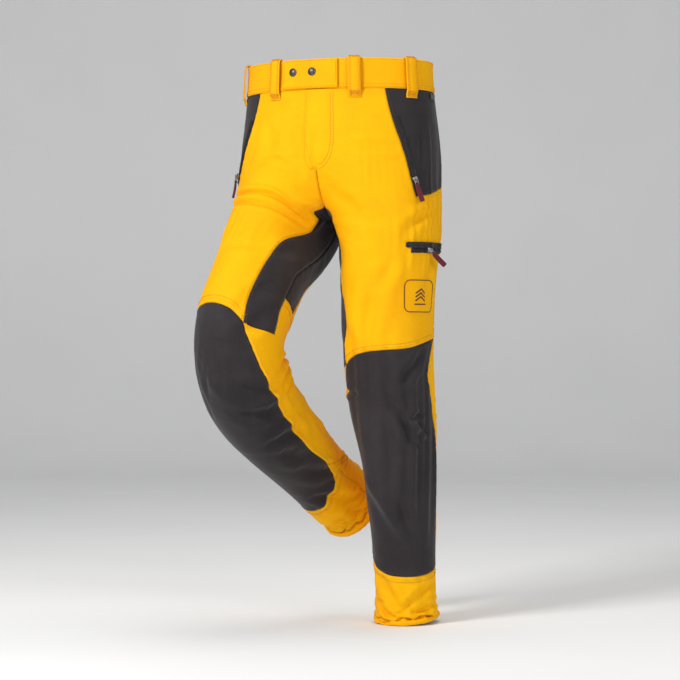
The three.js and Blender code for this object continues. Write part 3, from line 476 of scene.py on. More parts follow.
def curve_through(points, count):
    """Evenly spread places along a smooth curve through (phi, v) points, phi weighed by its real width."""
    points = np.asarray(points, float)
    t = np.concatenate([[0], np.cumsum(np.hypot(np.diff(points[:, 0]) * 1.9, np.diff(points[:, 1])))])
    fine = np.linspace(0, t[-1], 400)
    i = np.clip(np.searchsorted(t, fine, side="right") - 1, 0, len(t) - 2)
    h = t[i + 1] - t[i]
    s = ((fine - t[i]) / h)[:, None]
    slope = np.gradient(points, t, axis=0)
    h = h[:, None]
    out = points[i] * (2 * s**3 - 3 * s**2 + 1) + slope[i] * h * (s**3 - 2 * s**2 + s)
    out += points[i + 1] * (3 * s**2 - 2 * s**3) + slope[i + 1] * h * (s**3 - s**2)
    length = np.concatenate([[0], np.cumsum(np.hypot(np.diff(out[:, 0]) * 1.9, np.diff(out[:, 1])))])
    at = np.linspace(0, length[-1], count)
    return np.stack([np.interp(at, length, out[:, 0]), np.interp(at, length, out[:, 1])], axis=-1)


def cubic(t):
    """Catmull-Rom weights of the four places round a share t."""
    return np.stack(
        [
            -0.5 * t + t**2 - 0.5 * t**3,
            1 - 2.5 * t**2 + 1.5 * t**3,
            0.5 * t + 2 * t**2 - 1.5 * t**3,
            -0.5 * t**2 + 0.5 * t**3,
        ],
        axis=-1,
    )


def skin(half, phi, v, offset=0.0):
    """Places on the laid cloth, offset outwards, in millimetres. phi may run past the centre or the inseam."""
    phi, v = np.broadcast_arrays(np.asarray(phi, float), np.asarray(v, float))
    phi = phi.copy()
    side = np.full(phi.shape, HALVES.index(half))
    past = (phi < 0) | (phi > 180)
    mirrored = past & (v < CROTCH)
    side = np.where(mirrored, 1 - side, side)
    phi = np.where(mirrored & (phi < 0), -phi, phi)
    phi = np.where(mirrored & (phi > 180), 360 - phi, phi)
    phi = np.where(past & ~mirrored & (phi < 0), phi + 180, phi)
    phi = np.where(past & ~mirrored & (phi > 180), phi - 180, phi)
    row = np.interp(np.clip(v, 0, OUTSEAM), ROW_V, np.arange(ROWS))
    i = np.clip(np.floor(row).astype(int), 0, ROWS - 2)
    column = phi / 180 * COLUMNS
    j = np.clip(np.floor(column).astype(int), 0, COLUMNS - 1)
    wi = cubic(row - i)
    wj = cubic(column - j)
    point = np.zeros(phi.shape + (3,))
    normal = np.zeros(phi.shape + (3,))
    for a in range(4):
        for b in range(4):
            w = (wi[..., a] * wj[..., b])[..., None]
            at = (side, np.clip(i + a - 1, 0, ROWS - 1), j + b + 2)
            point += w * LAID[at]
            normal += w * NORMALS[at]
    normal /= np.linalg.norm(normal, axis=-1, keepdims=True) + 1e-9
    beyond = (np.asarray(v) - np.clip(v, 0, OUTSEAM))[..., None] * np.array([0, 0, -1.0])
    return point + normal * np.asarray(offset)[..., None] + beyond



LAID = extended(lay_cloth())
NORMALS = grid_normals(LAID)


def with_creases(fine_rows, fine_columns):
    """The laid cloth on a finer grid, with its creases pressed in."""
    rows_v = np.concatenate([np.linspace(0, CROTCH - 3, 92),
            np.linspace(CROTCH + 3, OUTSEAM, fine_rows - 92)])
    phi, v = np.meshgrid(np.linspace(0, 180, fine_columns + 1), rows_v)
    grid = np.zeros((2, fine_rows, fine_columns + 1, 3))
    wide = np.interp(rows_v, [0, CROTCH, KNEE, OUTSEAM], [2.7, 1.75, 1.5, 1.15])
    for k, half in enumerate(HALVES):
        depth = crease_depth(half, phi, v, wide)
        # Creases fade at the waist, at the centre seams above the crotch and at the hem.
        depth *= smooth((v - 60) / 30) * (1 - 0.8 * smooth((v - OUTSEAM + 25) / 20))
        depth *= np.where(v < CROTCH + 20, smooth(phi / 5) * smooth((180 - phi) / 5), 1)
        grid[k] = skin(half, phi, v, depth)
    return rows_v, grid


ROW_V, FINE = with_creases(360, 180)
ROWS, COLUMNS = 360, 180
LAID = extended(FINE)
NORMALS = grid_normals(LAID)

# ---------------------------------------------------------------- materials
def linear(hex_colour):
    """An sRGB hex colour as linear red, green, blue, alpha."""
    channels = [int(hex_colour[i : i + 2], 16) / 255 for i in (1, 3, 5)]
    return [c / 12.92 if c <= 0.04045 else ((c + 0.055) / 1.055) ** 2.4 for c in channels] + [1]


def node(tree, kind, settings=None, **links):
    """Adds a shader node with its settings and links.

    The setting "stops" gives a ramp's (place, colour) pairs. A link is a socket to join or a constant to
    set, keyed by input name (in0 by number).
    """
    made = tree.nodes.new(kind)
    for key, value in (settings or {}).items():
        if key != "stops":
            setattr(made, key, value)
            continue
        elements = made.color_ramp.elements
        while len(elements) < len(value):
            elements.new(0.5)
        for element, (at, colour) in zip(elements, value):
            element.position = at
            element.color = linear(colour) if isinstance(colour, str) else (colour, colour, colour, 1)
    for key, value in links.items():
        place = int(key[2:]) if key[:2] == "in" and key[2:].isdigit() else key.replace("_", " ")
        if isinstance(value, bpy.types.NodeSocket):
            tree.links.new(value, made.inputs[place])
        else:
            made.inputs[place].default_value = value
    return made


def finish_material(tree, colour, roughness, height, depth, **extra):
    bump = node(tree, "ShaderNodeBump", None, Height=height, Distance=depth, Strength=1.0)
    shader = node(tree, "ShaderNodeBsdfPrincipled", None, Base_Color=colour, Roughness=roughness,
                  Normal=bump.outputs[0], **extra)
    node(tree, "ShaderNodeOutputMaterial", None, Surface=shader.outputs[0])


def new_material(name):
    material = bpy.data.materials.new(name)
    material.use_nodes = True
    material.node_tree.nodes.clear()
    return material, material.node_tree


def woven(name, light, dark, worn, weave_mm=1.1, sheen=0.25, rough=0.62, creases=0.0006):
    """Cloth with a fine weave, uneven dye, handling marks and small soft creases. Reads the panel's own flat
    map.
    """
    material, tree = new_material(name)
    flat = node(tree, "ShaderNodeUVMap", {"uv_map": "flat"}).outputs[0]
    place = node(tree, "ShaderNodeTexCoord").outputs["Object"]
    cloud = node(tree, "ShaderNodeTexNoise", None, Vector=place, Scale=9.0, Detail=4.0,
            Roughness=0.6).outputs[0]
    speck = node(tree, "ShaderNodeTexNoise", None, Vector=place, Scale=420.0, Detail=3.0,
            Roughness=0.7).outputs[0]
    rubbed = node(tree, "ShaderNodeTexNoise", None, Vector=place, Scale=34.0, Detail=6.0,
            Roughness=0.75).outputs[0]
    # The real weave is about 0.4 mm; it is drawn coarser so that it still shows at this size.
    threads = 2 * math.pi / (weave_mm * MM) / 20
    warp = node(tree, "ShaderNodeTexWave", {"bands_direction": "X"}, Vector=flat, Scale=threads,
            Distortion=0.5,
                Detail_Scale=3.0).outputs[1]
    weft = node(tree, "ShaderNodeTexWave", {"bands_direction": "Y"}, Vector=flat, Scale=threads,
            Distortion=0.5,
                Detail_Scale=3.0).outputs[1]
    weave = node(tree, "ShaderNodeMath", {"operation": "MULTIPLY"}, in0=warp, in1=weft).outputs[0]
    tone = node(tree, "ShaderNodeMath", {"operation": "ADD"},
            in0=node(tree, "ShaderNodeMath", {"operation": "MULTIPLY"}, in0=cloud, in1=0.72).outputs[0],
                    in1=node(tree, "ShaderNodeMath", {"operation": "MULTIPLY"}, in0=speck,
                            in1=0.28).outputs[0]).outputs[0]
    dye = node(tree, "ShaderNodeValToRGB", {"stops": [(0.3, dark), (0.66, light)]}, in0=tone).outputs[0]
    wear = node(tree, "ShaderNodeValToRGB", {"stops": [(0.56, 0.0), (0.8, 0.3)]}, in0=rubbed).outputs[0]
    aged = node(tree, "ShaderNodeMixRGB", None, Fac=wear, Color1=dye, Color2=linear(worn)).outputs[0]
    shade = node(tree, "ShaderNodeValToRGB", {"stops": [(0.0, 0.8), (0.35, 1.0)]}, in0=weave).outputs[0]
    colour = node(tree, "ShaderNodeMixRGB", {"blend_type": "MULTIPLY"}, Fac=0.45, Color1=aged,
            Color2=shade).outputs[0]
    roughness = node(tree, "ShaderNodeMath", {"operation": "ADD"},
            in0=node(tree, "ShaderNodeMath", {"operation": "MULTIPLY"}, in0=rubbed, in1=0.2).outputs[0],
                    in1=rough - 0.1).outputs[0]
    stretched = node(tree, "ShaderNodeMapping", None, Vector=place, Rotation=(0.3, 0.9, 0.4),
            Scale=(1, 1, 2.6))
    soft = node(tree, "ShaderNodeTexNoise", None, Vector=stretched.outputs[0], Scale=13.0, Detail=3.0,
                Roughness=0.45, Distortion=0.9).outputs[0]
    height = node(tree, "ShaderNodeMath", {"operation": "ADD"},
            in0=node(tree, "ShaderNodeMath", {"operation": "MULTIPLY"}, in0=weave, in1=0.00007).outputs[0],
                    in1=node(tree, "ShaderNodeMath", {"operation": "MULTIPLY"}, in0=soft,
                            in1=creases * 4).outputs[0]).outputs[0]
    height = node(tree, "ShaderNodeMath", {"operation": "ADD"}, in0=height,
            in1=node(tree, "ShaderNodeMath", {"operation": "MULTIPLY"}, in0=speck,
                    in1=0.00008).outputs[0]).outputs[0]
    finish_material(tree, colour, roughness, height, 1.0, Sheen_Weight=sheen, Sheen_Roughness=0.5,
                    Specular_IOR_Level=0.14)
    return material


def metal(name, colour, dark, rough, bump=0.00004):
    """Plated metal with fine scratches and darker, duller patches."""
    material, tree = new_material(name)
    place = node(tree, "ShaderNodeTexCoord").outputs["Object"]
    patch = node(tree, "ShaderNodeTexNoise", None, Vector=place, Scale=180.0, Detail=5.0).outputs[0]
    scratch = node(tree, "ShaderNodeMapping", None, Vector=place, Scale=(1, 1, 14)).outputs[0]
    lines = node(tree, "ShaderNodeTexNoise", None, Vector=scratch, Scale=500.0, Detail=2.0).outputs[0]
    tone = node(tree, "ShaderNodeValToRGB", {"stops": [(0.3, dark), (0.7, colour)]}, in0=patch).outputs[0]
    roughness = node(tree, "ShaderNodeMath", {"operation": "ADD"},
            in0=node(tree, "ShaderNodeMath", {"operation": "MULTIPLY"}, in0=patch, in1=0.3).outputs[0],
                    in1=rough - 0.12).outputs[0]
    height = node(tree, "ShaderNodeMath", {"operation": "ADD"},
            in0=node(tree, "ShaderNodeMath", {"operation": "MULTIPLY"}, in0=patch, in1=bump).outputs[0],
                    in1=node(tree, "ShaderNodeMath", {"operation": "MULTIPLY"}, in0=lines,
                            in1=bump / 2).outputs[0]).outputs[0]
    finish_material(tree, tone, roughness, height, 1.0, Metallic=1.0)
    return material


def solid_colour(name, light, dark, rough, grain=700.0, bump=0.00006, bands=None):
    """A plain finish such as thread, moulded plastic or print, with grain, fading and optional fine bands."""
    material, tree = new_material(name)
    place = node(tree, "ShaderNodeTexCoord").outputs["Object"]
    cloud = node(tree, "ShaderNodeTexNoise", None, Vector=place, Scale=60.0, Detail=4.0).outputs[0]
    speck = node(tree, "ShaderNodeTexNoise", None, Vector=place, Scale=grain, Detail=2.0).outputs[0]
    both = node(tree, "ShaderNodeMath", {"operation": "ADD"},
            in0=node(tree, "ShaderNodeMath", {"operation": "MULTIPLY"}, in0=cloud, in1=0.5).outputs[0],
                    in1=node(tree, "ShaderNodeMath", {"operation": "MULTIPLY"}, in0=speck,
                            in1=0.5).outputs[0]).outputs[0]
    colour = node(tree, "ShaderNodeValToRGB", {"stops": [(0.3, dark), (0.68, light)]}, in0=both).outputs[0]
    height = node(tree, "ShaderNodeMath", {"operation": "MULTIPLY"}, in0=both, in1=bump).outputs[0]
    if bands:
        wave = node(tree, "ShaderNodeTexWave", {"bands_direction": "Z"}, Vector=place, Scale=bands).outputs[1]
        height = node(tree, "ShaderNodeMath", {"operation": "ADD"}, in0=height,
                in1=node(tree, "ShaderNodeMath", {"operation": "MULTIPLY"}, in0=wave,
                        in1=bump * 2).outputs[0]).outputs[0]
    roughness = node(tree, "ShaderNodeMath", {"operation": "ADD"},
            in0=node(tree, "ShaderNodeMath", {"operation": "MULTIPLY"}, in0=cloud, in1=0.25).outputs[0],
                    in1=rough - 0.1).outputs[0]
    finish_material(tree, colour, roughness, height, 1.0)
    return material


# Yellow softshell: the bright main cloth, warm and slightly uneven.
YELLOW = woven("yellow_softshell", "#FFBE00", "#FBAE00", "#FFC61E", sheen=0.0, rough=0.75)
# Charcoal softshell: the dark hard-wearing panels, a little browner than black.
CHARCOAL = woven("charcoal_softshell", "#353033", "#272325", "#474144", sheen=0.12)
# Yellow cloth doubled at bands, loops and hems: the same dye, firmer and smoother.
BAND_YELLOW = woven("yellow_band_cloth", "#FFBB00", "#F8AA00", "#FFC31E", sheen=0.0, rough=0.75,
        creases=0.0003)
# Pocketing: the thin dark mesh cloth of the hidden pocket bags.
POCKETING = woven("pocketing_mesh", "#3B3B40", "#2A2A2E", "#4C4C50", weave_mm=1.6, creases=0.0002)
# Yellow thread: topstitching on yellow cloth, a shade deeper so that the rows read.
YELLOW_THREAD = solid_colour("yellow_thread", "#D99010", "#B87608", 0.6)
# Orange thread: the contrast double rows beside charcoal panels.
ORANGE_THREAD = solid_colour("orange_thread", "#C98A2C", "#A36C1C", 0.6)
# Charcoal thread: the rows on dark cloth.
CHARCOAL_THREAD = solid_colour("charcoal_thread", "#4E4748", "#393334", 0.6)
# Gunmetal: snap caps and studs.
GUNMETAL = metal("gunmetal", "#6E6A68", "#45413F", 0.38)
# Steel: sliders and pull rings, lighter and shinier.
STEEL = metal("plated_steel", "#A8A6A3", "#7C7A78", 0.3)
# Zip coil: black moulded polyamide teeth.
COIL = solid_colour("zip_coil", "#2B2728", "#181516", 0.4)
# Zip tape: dull black ribbon either side of the coil.
TAPE = woven("zip_tape", "#2E292B", "#211D1F", "#3B3637", weave_mm=0.9, creases=0.0)
# Burgundy ribbon: the grip pulls of the zips.
RIBBON = woven("burgundy_pull_ribbon", "#6E2836", "#541D29", "#83404D", weave_mm=0.9, sheen=0.1, creases=0.0)
# Dark print: the badge's transfer film, faintly raised and satin.
PRINT = solid_colour("badge_print", "#5A2A1C", "#45200F", 0.5)
# Woven label: black satin of the folded hip tag.
LABEL = woven("woven_label", "#1E1B1D", "#121012", "#2D292B", weave_mm=0.8, sheen=0.4, creases=0.0)
# Inside cloth: the brushed back of the softshell, seen through the waist and the leg openings.
INSIDE = woven("brushed_lining", "#6A655F", "#524D49", "#7A756E", weave_mm=1.8, creases=0.0)


# ---------------------------------------------------------------- meshes
def make_object(name, points, faces, materials, smooth_faces=True, flat=None, slots=None):
    """A mesh object from millimetre points. flat gives each vertex its place on the flat cloth, for the
    weave.
    """
    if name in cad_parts:
        name += "_detail"
    mesh = bpy.data.meshes.new(name)
    mesh.from_pydata((np.asarray(points) * MM).tolist(), [], [[int(k) for k in f] for f in faces])
    for material in materials:
        mesh.materials.append(material)
    if flat is not None:
        layer = mesh.uv_layers.new(name="flat")
        loops = np.zeros(len(mesh.loops), int)
        mesh.loops.foreach_get("vertex_index", loops)
        layer.data.foreach_set("uv", (np.asarray(flat)[loops] * MM).reshape(-1))
    if slots is not None:
        mesh.polygons.foreach_set("material_index", [int(k) for k in slots])
    mesh.polygons.foreach_set("use_smooth", [smooth_faces] * len(mesh.polygons))
    mesh.update()
    made = bpy.data.objects.new(name, mesh)
    bpy.context.collection.objects.link(made)
    return made


def joined(parts):
    """Several (points, faces) as one."""
    points, faces, count = [], [], 0
    for p, f in parts:
        points.append(np.asarray(p))
        faces += [[k + count for k in face] for face in f]
        count += len(p)
    return np.concatenate(points), faces


def outline(points, v):
    """The seam's phi at each v, from its (phi, v) points, smoothed between them."""
    at = [p[1] for p in points]
    return np.interp(v, at, [p[0] for p in points])


def level(points, phi):
    """The seam's v at each phi, from its (phi, v) points, smoothed between them."""
    return stations([(p[0], p[1]) for p in points])(phi)


# Seams, as (phi, v).
HIP_SEAM = [(43, 56), (45, 90), (48, 125), (52, 160), (56, 198), (61.5, 250)]
HIP_HEM = [(61.5, 250), (75, 246), (90, 238), (106, 228)]
SIDE_SEAM_TOP = [(112, 56), (109, 150), (106, 228)]
THIGH_SEAM = [(0, 262), (8, 276), (12, 330), (15, 430), (16, 553)]
BACK_CROSS = 485
GUSSET_SEAM = [(160, 262), (163, 370), (168, BACK_CROSS)]
SIDE_SEAM = 101
KNEE_TOP = [(0, KNEE - 76), (16, KNEE - 86), (20, KNEE - 97), (61, KNEE - 116), (85, KNEE - 128),
        (101, KNEE - 132)]
KNEE_OUTER = [(100, 508), (88, 545), (82, 575), (92, 620), (98, 680), (100, 800), (100, 938)]
KNEE_INNER = [(16, 553), (10, 600), (7, 640), (7, 800), (6, 900), (8, 912)]
CUFF_TOP_HEIGHT = [(0, 142), (20, 118), (34, 110), (60, 106), (100, 112), (135, 96), (160, 120), (180, 142)]
CUFF_TOP = [(p, OUTSEAM - h) for p, h in CUFF_TOP_HEIGHT]
HEM_BAND = 18
CLOTH = 1.6


def coons(top, bottom, left, right, columns, rows):
    """A grid of (phi, v) filling four border curves. top and bottom run from left to right."""
    top, bottom = curve_through(top, columns), curve_through(bottom, columns)
    left, right = curve_through(left, rows), curve_through(right, rows)
    s = np.linspace(0, 1, columns)[None, :, None]
    t = np.linspace(0, 1, rows)[:, None, None]
    ruled = (1 - t) * top[None] + t * bottom[None] + (1 - s) * left[:, None] + s * right[:, None]
    corners = (
        (1 - s) * (1 - t) * top[0] + s * (1 - t) * top[-1] + (1 - s) * t * bottom[0] + s * t * bottom[-1]
    )
    return ruled - corners


def surface(patches):
    """One set of places (phi, v) and quads from several grids that share edges."""
    places, faces, count = [], [], 0
    for grid in patches:
        rows, columns = grid.shape[:2]
        number = np.arange(rows * columns).reshape(rows, columns) + count
        quads = np.stack([number[:-1, :-1], number[1:, :-1], number[1:, 1:], number[:-1, 1:]], axis=-1)
        places.append(grid.reshape(-1, 2))
        faces.append(quads.reshape(-1, 4))
        count += rows * columns
    places, faces = np.concatenate(places), np.concatenate(faces)
    rounded = np.round(places * [40, 20]).astype(int)
    _, first, same = np.unique(rounded, axis=0, return_index=True, return_inverse=True)
    return places[first], same.reshape(-1)[faces]


def rim_edges(faces):
    """Edges that only one face uses, in that face's direction."""
    edges = np.concatenate([np.stack([faces[:, k], faces[:, (k + 1) % 4]], axis=-1) for k in range(4)])
    key = np.sort(edges, axis=1)
    _, where, counts = np.unique(key, axis=0, return_index=True, return_counts=True)
    return edges[where[counts == 1]]


def flat_metrics(places, faces):
    """Width, length and area in metres of a panel's cut cloth, laid flat.

    Each place goes to its distance round the straight, unbent skin from the panel's middle line, and to
    its depth.
    """
    plain = {"side": 1, "lift": 0.0, "knee": 0.0, "turn": 0.0, "spread": 0.0, "zone": (283, 640), "tuck": 0}
    levels = np.linspace(places[:, 1].min(), places[:, 1].max(), 80)
    rounds = np.linspace(places[:, 0].min(), places[:, 0].max(), 361)
    v, phi = np.meshgrid(levels, rounds, indexing="ij")
    ring = bare(plain, np.where((phi > 180) & (v > CROTCH), phi - 180, np.clip(np.abs(phi), 0, 180)), v)
    ring[..., 0] *= np.where(phi < 0, -1, 1)
    run = np.zeros(phi.shape)
    run[:, 1:] = np.cumsum(np.linalg.norm(np.diff(ring, axis=1), axis=-1), axis=1)
    run -= run[:, [180]]
    row = (places[:, 1] - levels[0]) / (levels[1] - levels[0])
    column = (places[:, 0] - rounds[0]) / (rounds[1] - rounds[0])
    i, j = np.clip(row.astype(int), 0, 78), np.clip(column.astype(int), 0, 359)
    down, on = row - i, column - j
    across = (run[i, j] * (1 - on) + run[i, j + 1] * on) * (1 - down)
    across = across + (run[i + 1, j] * (1 - on) + run[i + 1, j + 1] * on) * down
    flat = np.stack([across, places[:, 1]], axis=-1)
    a, b, c, d = (flat[faces[:, k]] for k in range(4))
    one, other = c - a, d - b
    area = np.abs(one[:, 0] * other[:, 1] - one[:, 1] * other[:, 0]).sum() / 2
    return float(np.ptp(across)) * MM, float(np.ptp(places[:, 1])) * MM, float(area) * 1e-6


def pucker(near, along):
    """Small gathers beside a seam, where the stitching draws the cloth in."""
    wave = np.sin(along / 2.1) * 0.6 + np.sin(along / 3.7 + 1.3) * 0.7
    return 0.32 * wave * np.exp(-(((near - 4.5) / 5.0) ** 2))


def seam_distance(base, curves):
    """Distance from each point to the nearest seam, and how far along it that is."""
    near = np.full(len(base), 1e3)
    along = np.zeros(len(base))
    for curve in curves:
        run = np.concatenate([[0], np.cumsum(np.linalg.norm(np.diff(curve, axis=0), axis=1))])
        for start in range(0, len(base), 4000):
            block = base[start : start + 4000]
            gap = np.linalg.norm(block[:, None] - curve[None], axis=-1)
            k = gap.argmin(axis=1)
            best = gap[np.arange(len(block)), k]
            closer = best < near[start : start + 4000]
            near[start : start + 4000] = np.where(closer, best, near[start : start + 4000])
            along[start : start + 4000] = np.where(closer, run[k], along[start : start + 4000])
    return near, along


def thread_run(centre, normal, length=3.6, gap=1.3, width=0.8, height=0.6, margin=3.0):
    """Short raised stitches along a line of points with outward normals, as small rounded lozenges."""
    run = np.concatenate([[0], np.cumsum(np.linalg.norm(np.diff(centre, axis=0), axis=1))])
    starts = np.arange(margin, run[-1] - margin - length, length + gap)
    if len(starts) == 0:
        return np.zeros((0, 3)), []
    at = starts[:, None] + np.array([0.0, 0.22, 0.78, 1.0]) * length
    middle = np.stack([np.interp(at, run, centre[:, k]) for k in range(3)], axis=-1)
    out = np.stack([np.interp(at, run, normal[:, k]) for k in range(3)], axis=-1)
    out /= np.linalg.norm(out, axis=-1, keepdims=True) + 1e-9
    aside = np.cross(middle[:, -1:] - middle[:, :1], out)
    aside /= np.linalg.norm(aside, axis=-1, keepdims=True) + 1e-9
    wide = (np.array([0.3, 1.0, 1.0, 0.3]) * width / 2)[:, None]
    high = (np.array([-0.3, 1.0, 1.0, -0.3]) * height)[:, None]
    ring = [
        middle + aside * wide - out * 0.35,
        middle + aside * wide * 0.5 + out * high,
        middle - aside * wide * 0.5 + out * high,
        middle - aside * wide - out * 0.35,
    ]
    points = np.stack(ring, axis=2).reshape(-1, 3)
    one = [[i * 4 + j, i * 4 + (j + 1) % 4, i * 4 + 4 + (j + 1) % 4,
            i * 4 + 4 + j] for i in range(3) for j in range(4)]
    one += [[3, 2, 1, 0], [12, 13, 14, 15]]
    return points, [[k + base * 16 for k in f] for base in range(len(starts)) for f in one]


def shifted(half, places, distance):
    """A curve of (phi, v) moved sideways on the skin by a real distance, towards higher phi when it runs
    down.
    """
    a = skin(half, places[:, 0] - 0.5, places[:, 1])
    b = skin(half, places[:, 0] + 0.5, places[:, 1])
    per_phi = np.linalg.norm(b - a, axis=1) + 1e-6
    run = np.gradient(places, axis=0)
    run[:, 0] *= per_phi
    side = np.stack([run[:, 1], -run[:, 0]], axis=-1)
    side /= np.linalg.norm(side, axis=1, keepdims=True) + 1e-9
    return places + np.stack([side[:, 0] / per_phi, side[:, 1]], axis=-1) * distance


def lift_of(half, places):
    """Outward normals of the skin along a curve of (phi, v)."""
    return skin(half, places[:, 0], places[:, 1], 1.0) - skin(half, places[:, 0], places[:, 1])


def row_of_stitches(half, curve, distance=0.0, rise=CLOTH / 2 + 0.6, count=220, **settings):
    """A row of topstitching beside a curve of (phi, v)."""
    places = curve_through(curve, count)
    if distance:
        places = shifted(half, places, distance)
    centre = skin(half, places[:, 0], places[:, 1], rise)
    return thread_run(centre, lift_of(half, places), **settings)


def panel(name, half, patches, cloth, seams=(), rows=(), thread=YELLOW_THREAD, rise=0.0, thickness=CLOTH,
          roll=0.9, inside=INSIDE, puckers=1.0):
    """A sewn panel: closed cloth with its seams rolled down, a brushed inside and rows of topstitching.

    rows holds (curve, distance) for each row of stitches.
    """
    places, faces = surface(patches)
    base = skin(half, places[:, 0], places[:, 1])
    curves = []
    for seam in seams:
        line = curve_through(seam, 160)
        curves.append(skin(half, line[:, 0], line[:, 1]))
    near, along = seam_distance(base, curves) if curves else (np.full(len(base), 1e3), np.zeros(len(base)))
    stitch_rise = rise if not callable(rise) else 2.2
    rise = rise(places[:, 0], places[:, 1]) if callable(rise) else rise
    offset = rise - roll * 1.3 * np.exp(-((near / 1.3) ** 2)) + roll * 0.9 * np.exp(-(((near - 5)
            / 3.4) ** 2))
    offset = offset + puckers * pucker(near, along)
    outer = skin(half, places[:, 0], places[:, 1], offset + thickness / 2)
    inner = skin(half, places[:, 0], places[:, 1], np.minimum(offset, rise) - thickness / 2)
    n = len(places)
    rim = rim_edges(faces)
    walls = np.stack([rim[:, 1], rim[:, 0], rim[:, 0] + n, rim[:, 1] + n], axis=-1)
    everything = np.concatenate([faces, faces[:, ::-1] + n, walls])
    if half == "R":
        everything = everything[:, ::-1]
    slots = [0] * len(faces) + [1] * len(faces) + [0] * len(walls)
    flat = np.stack([places[:, 0] * 1.9, places[:, 1]], axis=-1)
    parts = [(np.concatenate([outer, inner]), everything.tolist())]
    for curve, distance in rows:
        made = row_of_stitches(half, curve, distance, stitch_rise + thickness / 2 + 0.55 * roll)
        if len(made[0]):
            parts.append(made)
            slots += [2] * len(made[1])
    points, faces_all = joined(parts)
    flats = np.zeros((len(points), 2))
    flats[: 2 * n] = np.concatenate([flat, flat])
    made = make_object(name, points, faces_all, [cloth, inside, thread], flat=flats, slots=slots)
    made["cut"] = flat_metrics(places, faces)
    return made


def declare(obj, held="stretched", **extra):
    del obj["cut"]


# ---------------------------------------------------------------- the garment's panels
def part_of(points, v0, v1):
    """The stretch of a seam between two depths, as (phi, v) points that run down."""
    at = [p[1] for p in points]
    value = [p[0] for p in points]
    inside = [p for p in points if v0 + 2 < p[1] < v1 - 2]
    return [(float(np.interp(v0, at, value)), v0)] + inside + [(float(np.interp(v1, at, value)), v1)]


def across(points, phi0, phi1):
    """The stretch of a cross seam between two places round the leg, as (phi, v) points."""
    inside = [p for p in points if phi0 + 1 < p[0] < phi1 - 1]
    return [(phi0, float(level(points, phi0)))] + inside + [(phi1, float(level(points, phi1)))]


def flat_line(v, phi0, phi1):
    return [(phi0, v), ((phi0 + phi1) / 2, v), (phi1, v)]


EDGE = 0.15
TOP = 53
SPLIT = 250
GUSSET_TOP = 262
knee_top = lambda phi: float(level(KNEE_TOP, phi))
cuff_top = lambda phi: float(level(CUFF_TOP, phi % 180))
hip_side = SIDE_SEAM_TOP[:-1] + [SIDE_SEAM_TOP[-1]]
side_low = [(106, 228), (103, 262), (SIDE_SEAM, 300), (SIDE_SEAM, 400), (SIDE_SEAM, BACK_CROSS),
        (SIDE_SEAM, knee_top(SIDE_SEAM))]
centre_front = [(EDGE, TOP), (EDGE, 150), (EDGE, SPLIT)]
thigh_left = [(EDGE, SPLIT), (EDGE, 262)] + THIGH_SEAM[1:-1] + [(16, knee_top(16))]
knee_line = across(KNEE_TOP, 16, SIDE_SEAM)

garment = []


def both(name, replaced, make, follow):
    """Builds a panel for each half, hides the parts it replaces and attaches it to the body it follows; a blend
    panel is baked in place instead.
    """
    for half in HALVES:
        made = make(f"{name}_{half}", half)
        nodes = [f"{one}_{half}" for one in replaced]
        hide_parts(*nodes)
        if follow == "blend":
            start, end = (leg_centre(half, v) for v in (574, 706))
            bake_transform(made)
        elif follow == "lower":
            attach(made, "left_lower_leg" if half == "L" else "right_lower_leg")
        else:
            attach(made, follow)
        garment.append(made)


def leg_centre(half, v):
    """The middle of the leg at v, in metres."""
    round_leg = skin(half, np.arange(0, 180, 10.0), np.full(18, float(v)))
    return Vector(round_leg.mean(axis=0) * MM)


def side_panel(name, half):
    grid = coons(flat_line(TOP, 43, 112), HIP_HEM, [(43, TOP)] + HIP_SEAM[1:], [(112, TOP)] + hip_side[1:],
            48, 56)
    front_edge = [(43, TOP)] + HIP_SEAM[1:]
    return panel(name, half, [grid], CHARCOAL, [front_edge, HIP_HEM, hip_side, flat_line(TOP + 3, 43, 112)],
                 [(front_edge, 5), (front_edge, 11.5), (HIP_HEM, 4.5), (hip_side, -4.5)], CHARCOAL_THREAD)


def front_panel(name, half):
    upper = coons(flat_line(TOP, EDGE, 43), flat_line(SPLIT, EDGE, 61.5), centre_front,
            [(43, TOP)] + HIP_SEAM[1:],
                  48, 62)
    middle = coons(flat_line(SPLIT, EDGE, 61.5), across(KNEE_TOP, 16, 62), thigh_left,
            [(61.5, SPLIT), (62, 380), (62, knee_top(62))],
                   48, 82)
    outer = coons(HIP_HEM, across(KNEE_TOP, 62, SIDE_SEAM), [(61.5, SPLIT), (62, 380), (62, knee_top(62))],
                  side_low[:1] + side_low[1:], 34, 82)
    seams = [centre_front, thigh_left, knee_line, side_low, HIP_HEM, [(43, TOP)] + HIP_SEAM[1:],
            flat_line(TOP + 3, EDGE, 43)]
    rows = [(knee_line, 5), (knee_line, 9.5), (side_low, -5), (thigh_left, 5), (HIP_HEM, -6)]
    if half == "L":
        rows += [([(10.8, 58), (10.8, 120), (10.4, 160), (8.2, 184), (4.5, 197), (0.8, 201)], 0),
                 ([(9.2, 58), (9.2, 120), (8.8, 158), (6.8, 180), (3.6, 192), (0.8, 195)], 0)]
    return panel(name, half, [upper, middle, outer], YELLOW, seams, rows, ORANGE_THREAD)


def inner_thigh_panel(name, half):
    left = [(EDGE, 266), (EDGE, 400), (EDGE, knee_top(0.5))]
    right = THIGH_SEAM[1:-1] + [(16, knee_top(16))]
    grid = coons([(EDGE, 266), (4, 270), (8, 276)], across(KNEE_TOP, EDGE, 16), left, right, 14, 84)
    return panel(name, half, [grid], CHARCOAL, [left, right, across(KNEE_TOP, EDGE, 16)], [(right, -4)],
                 CHARCOAL_THREAD)


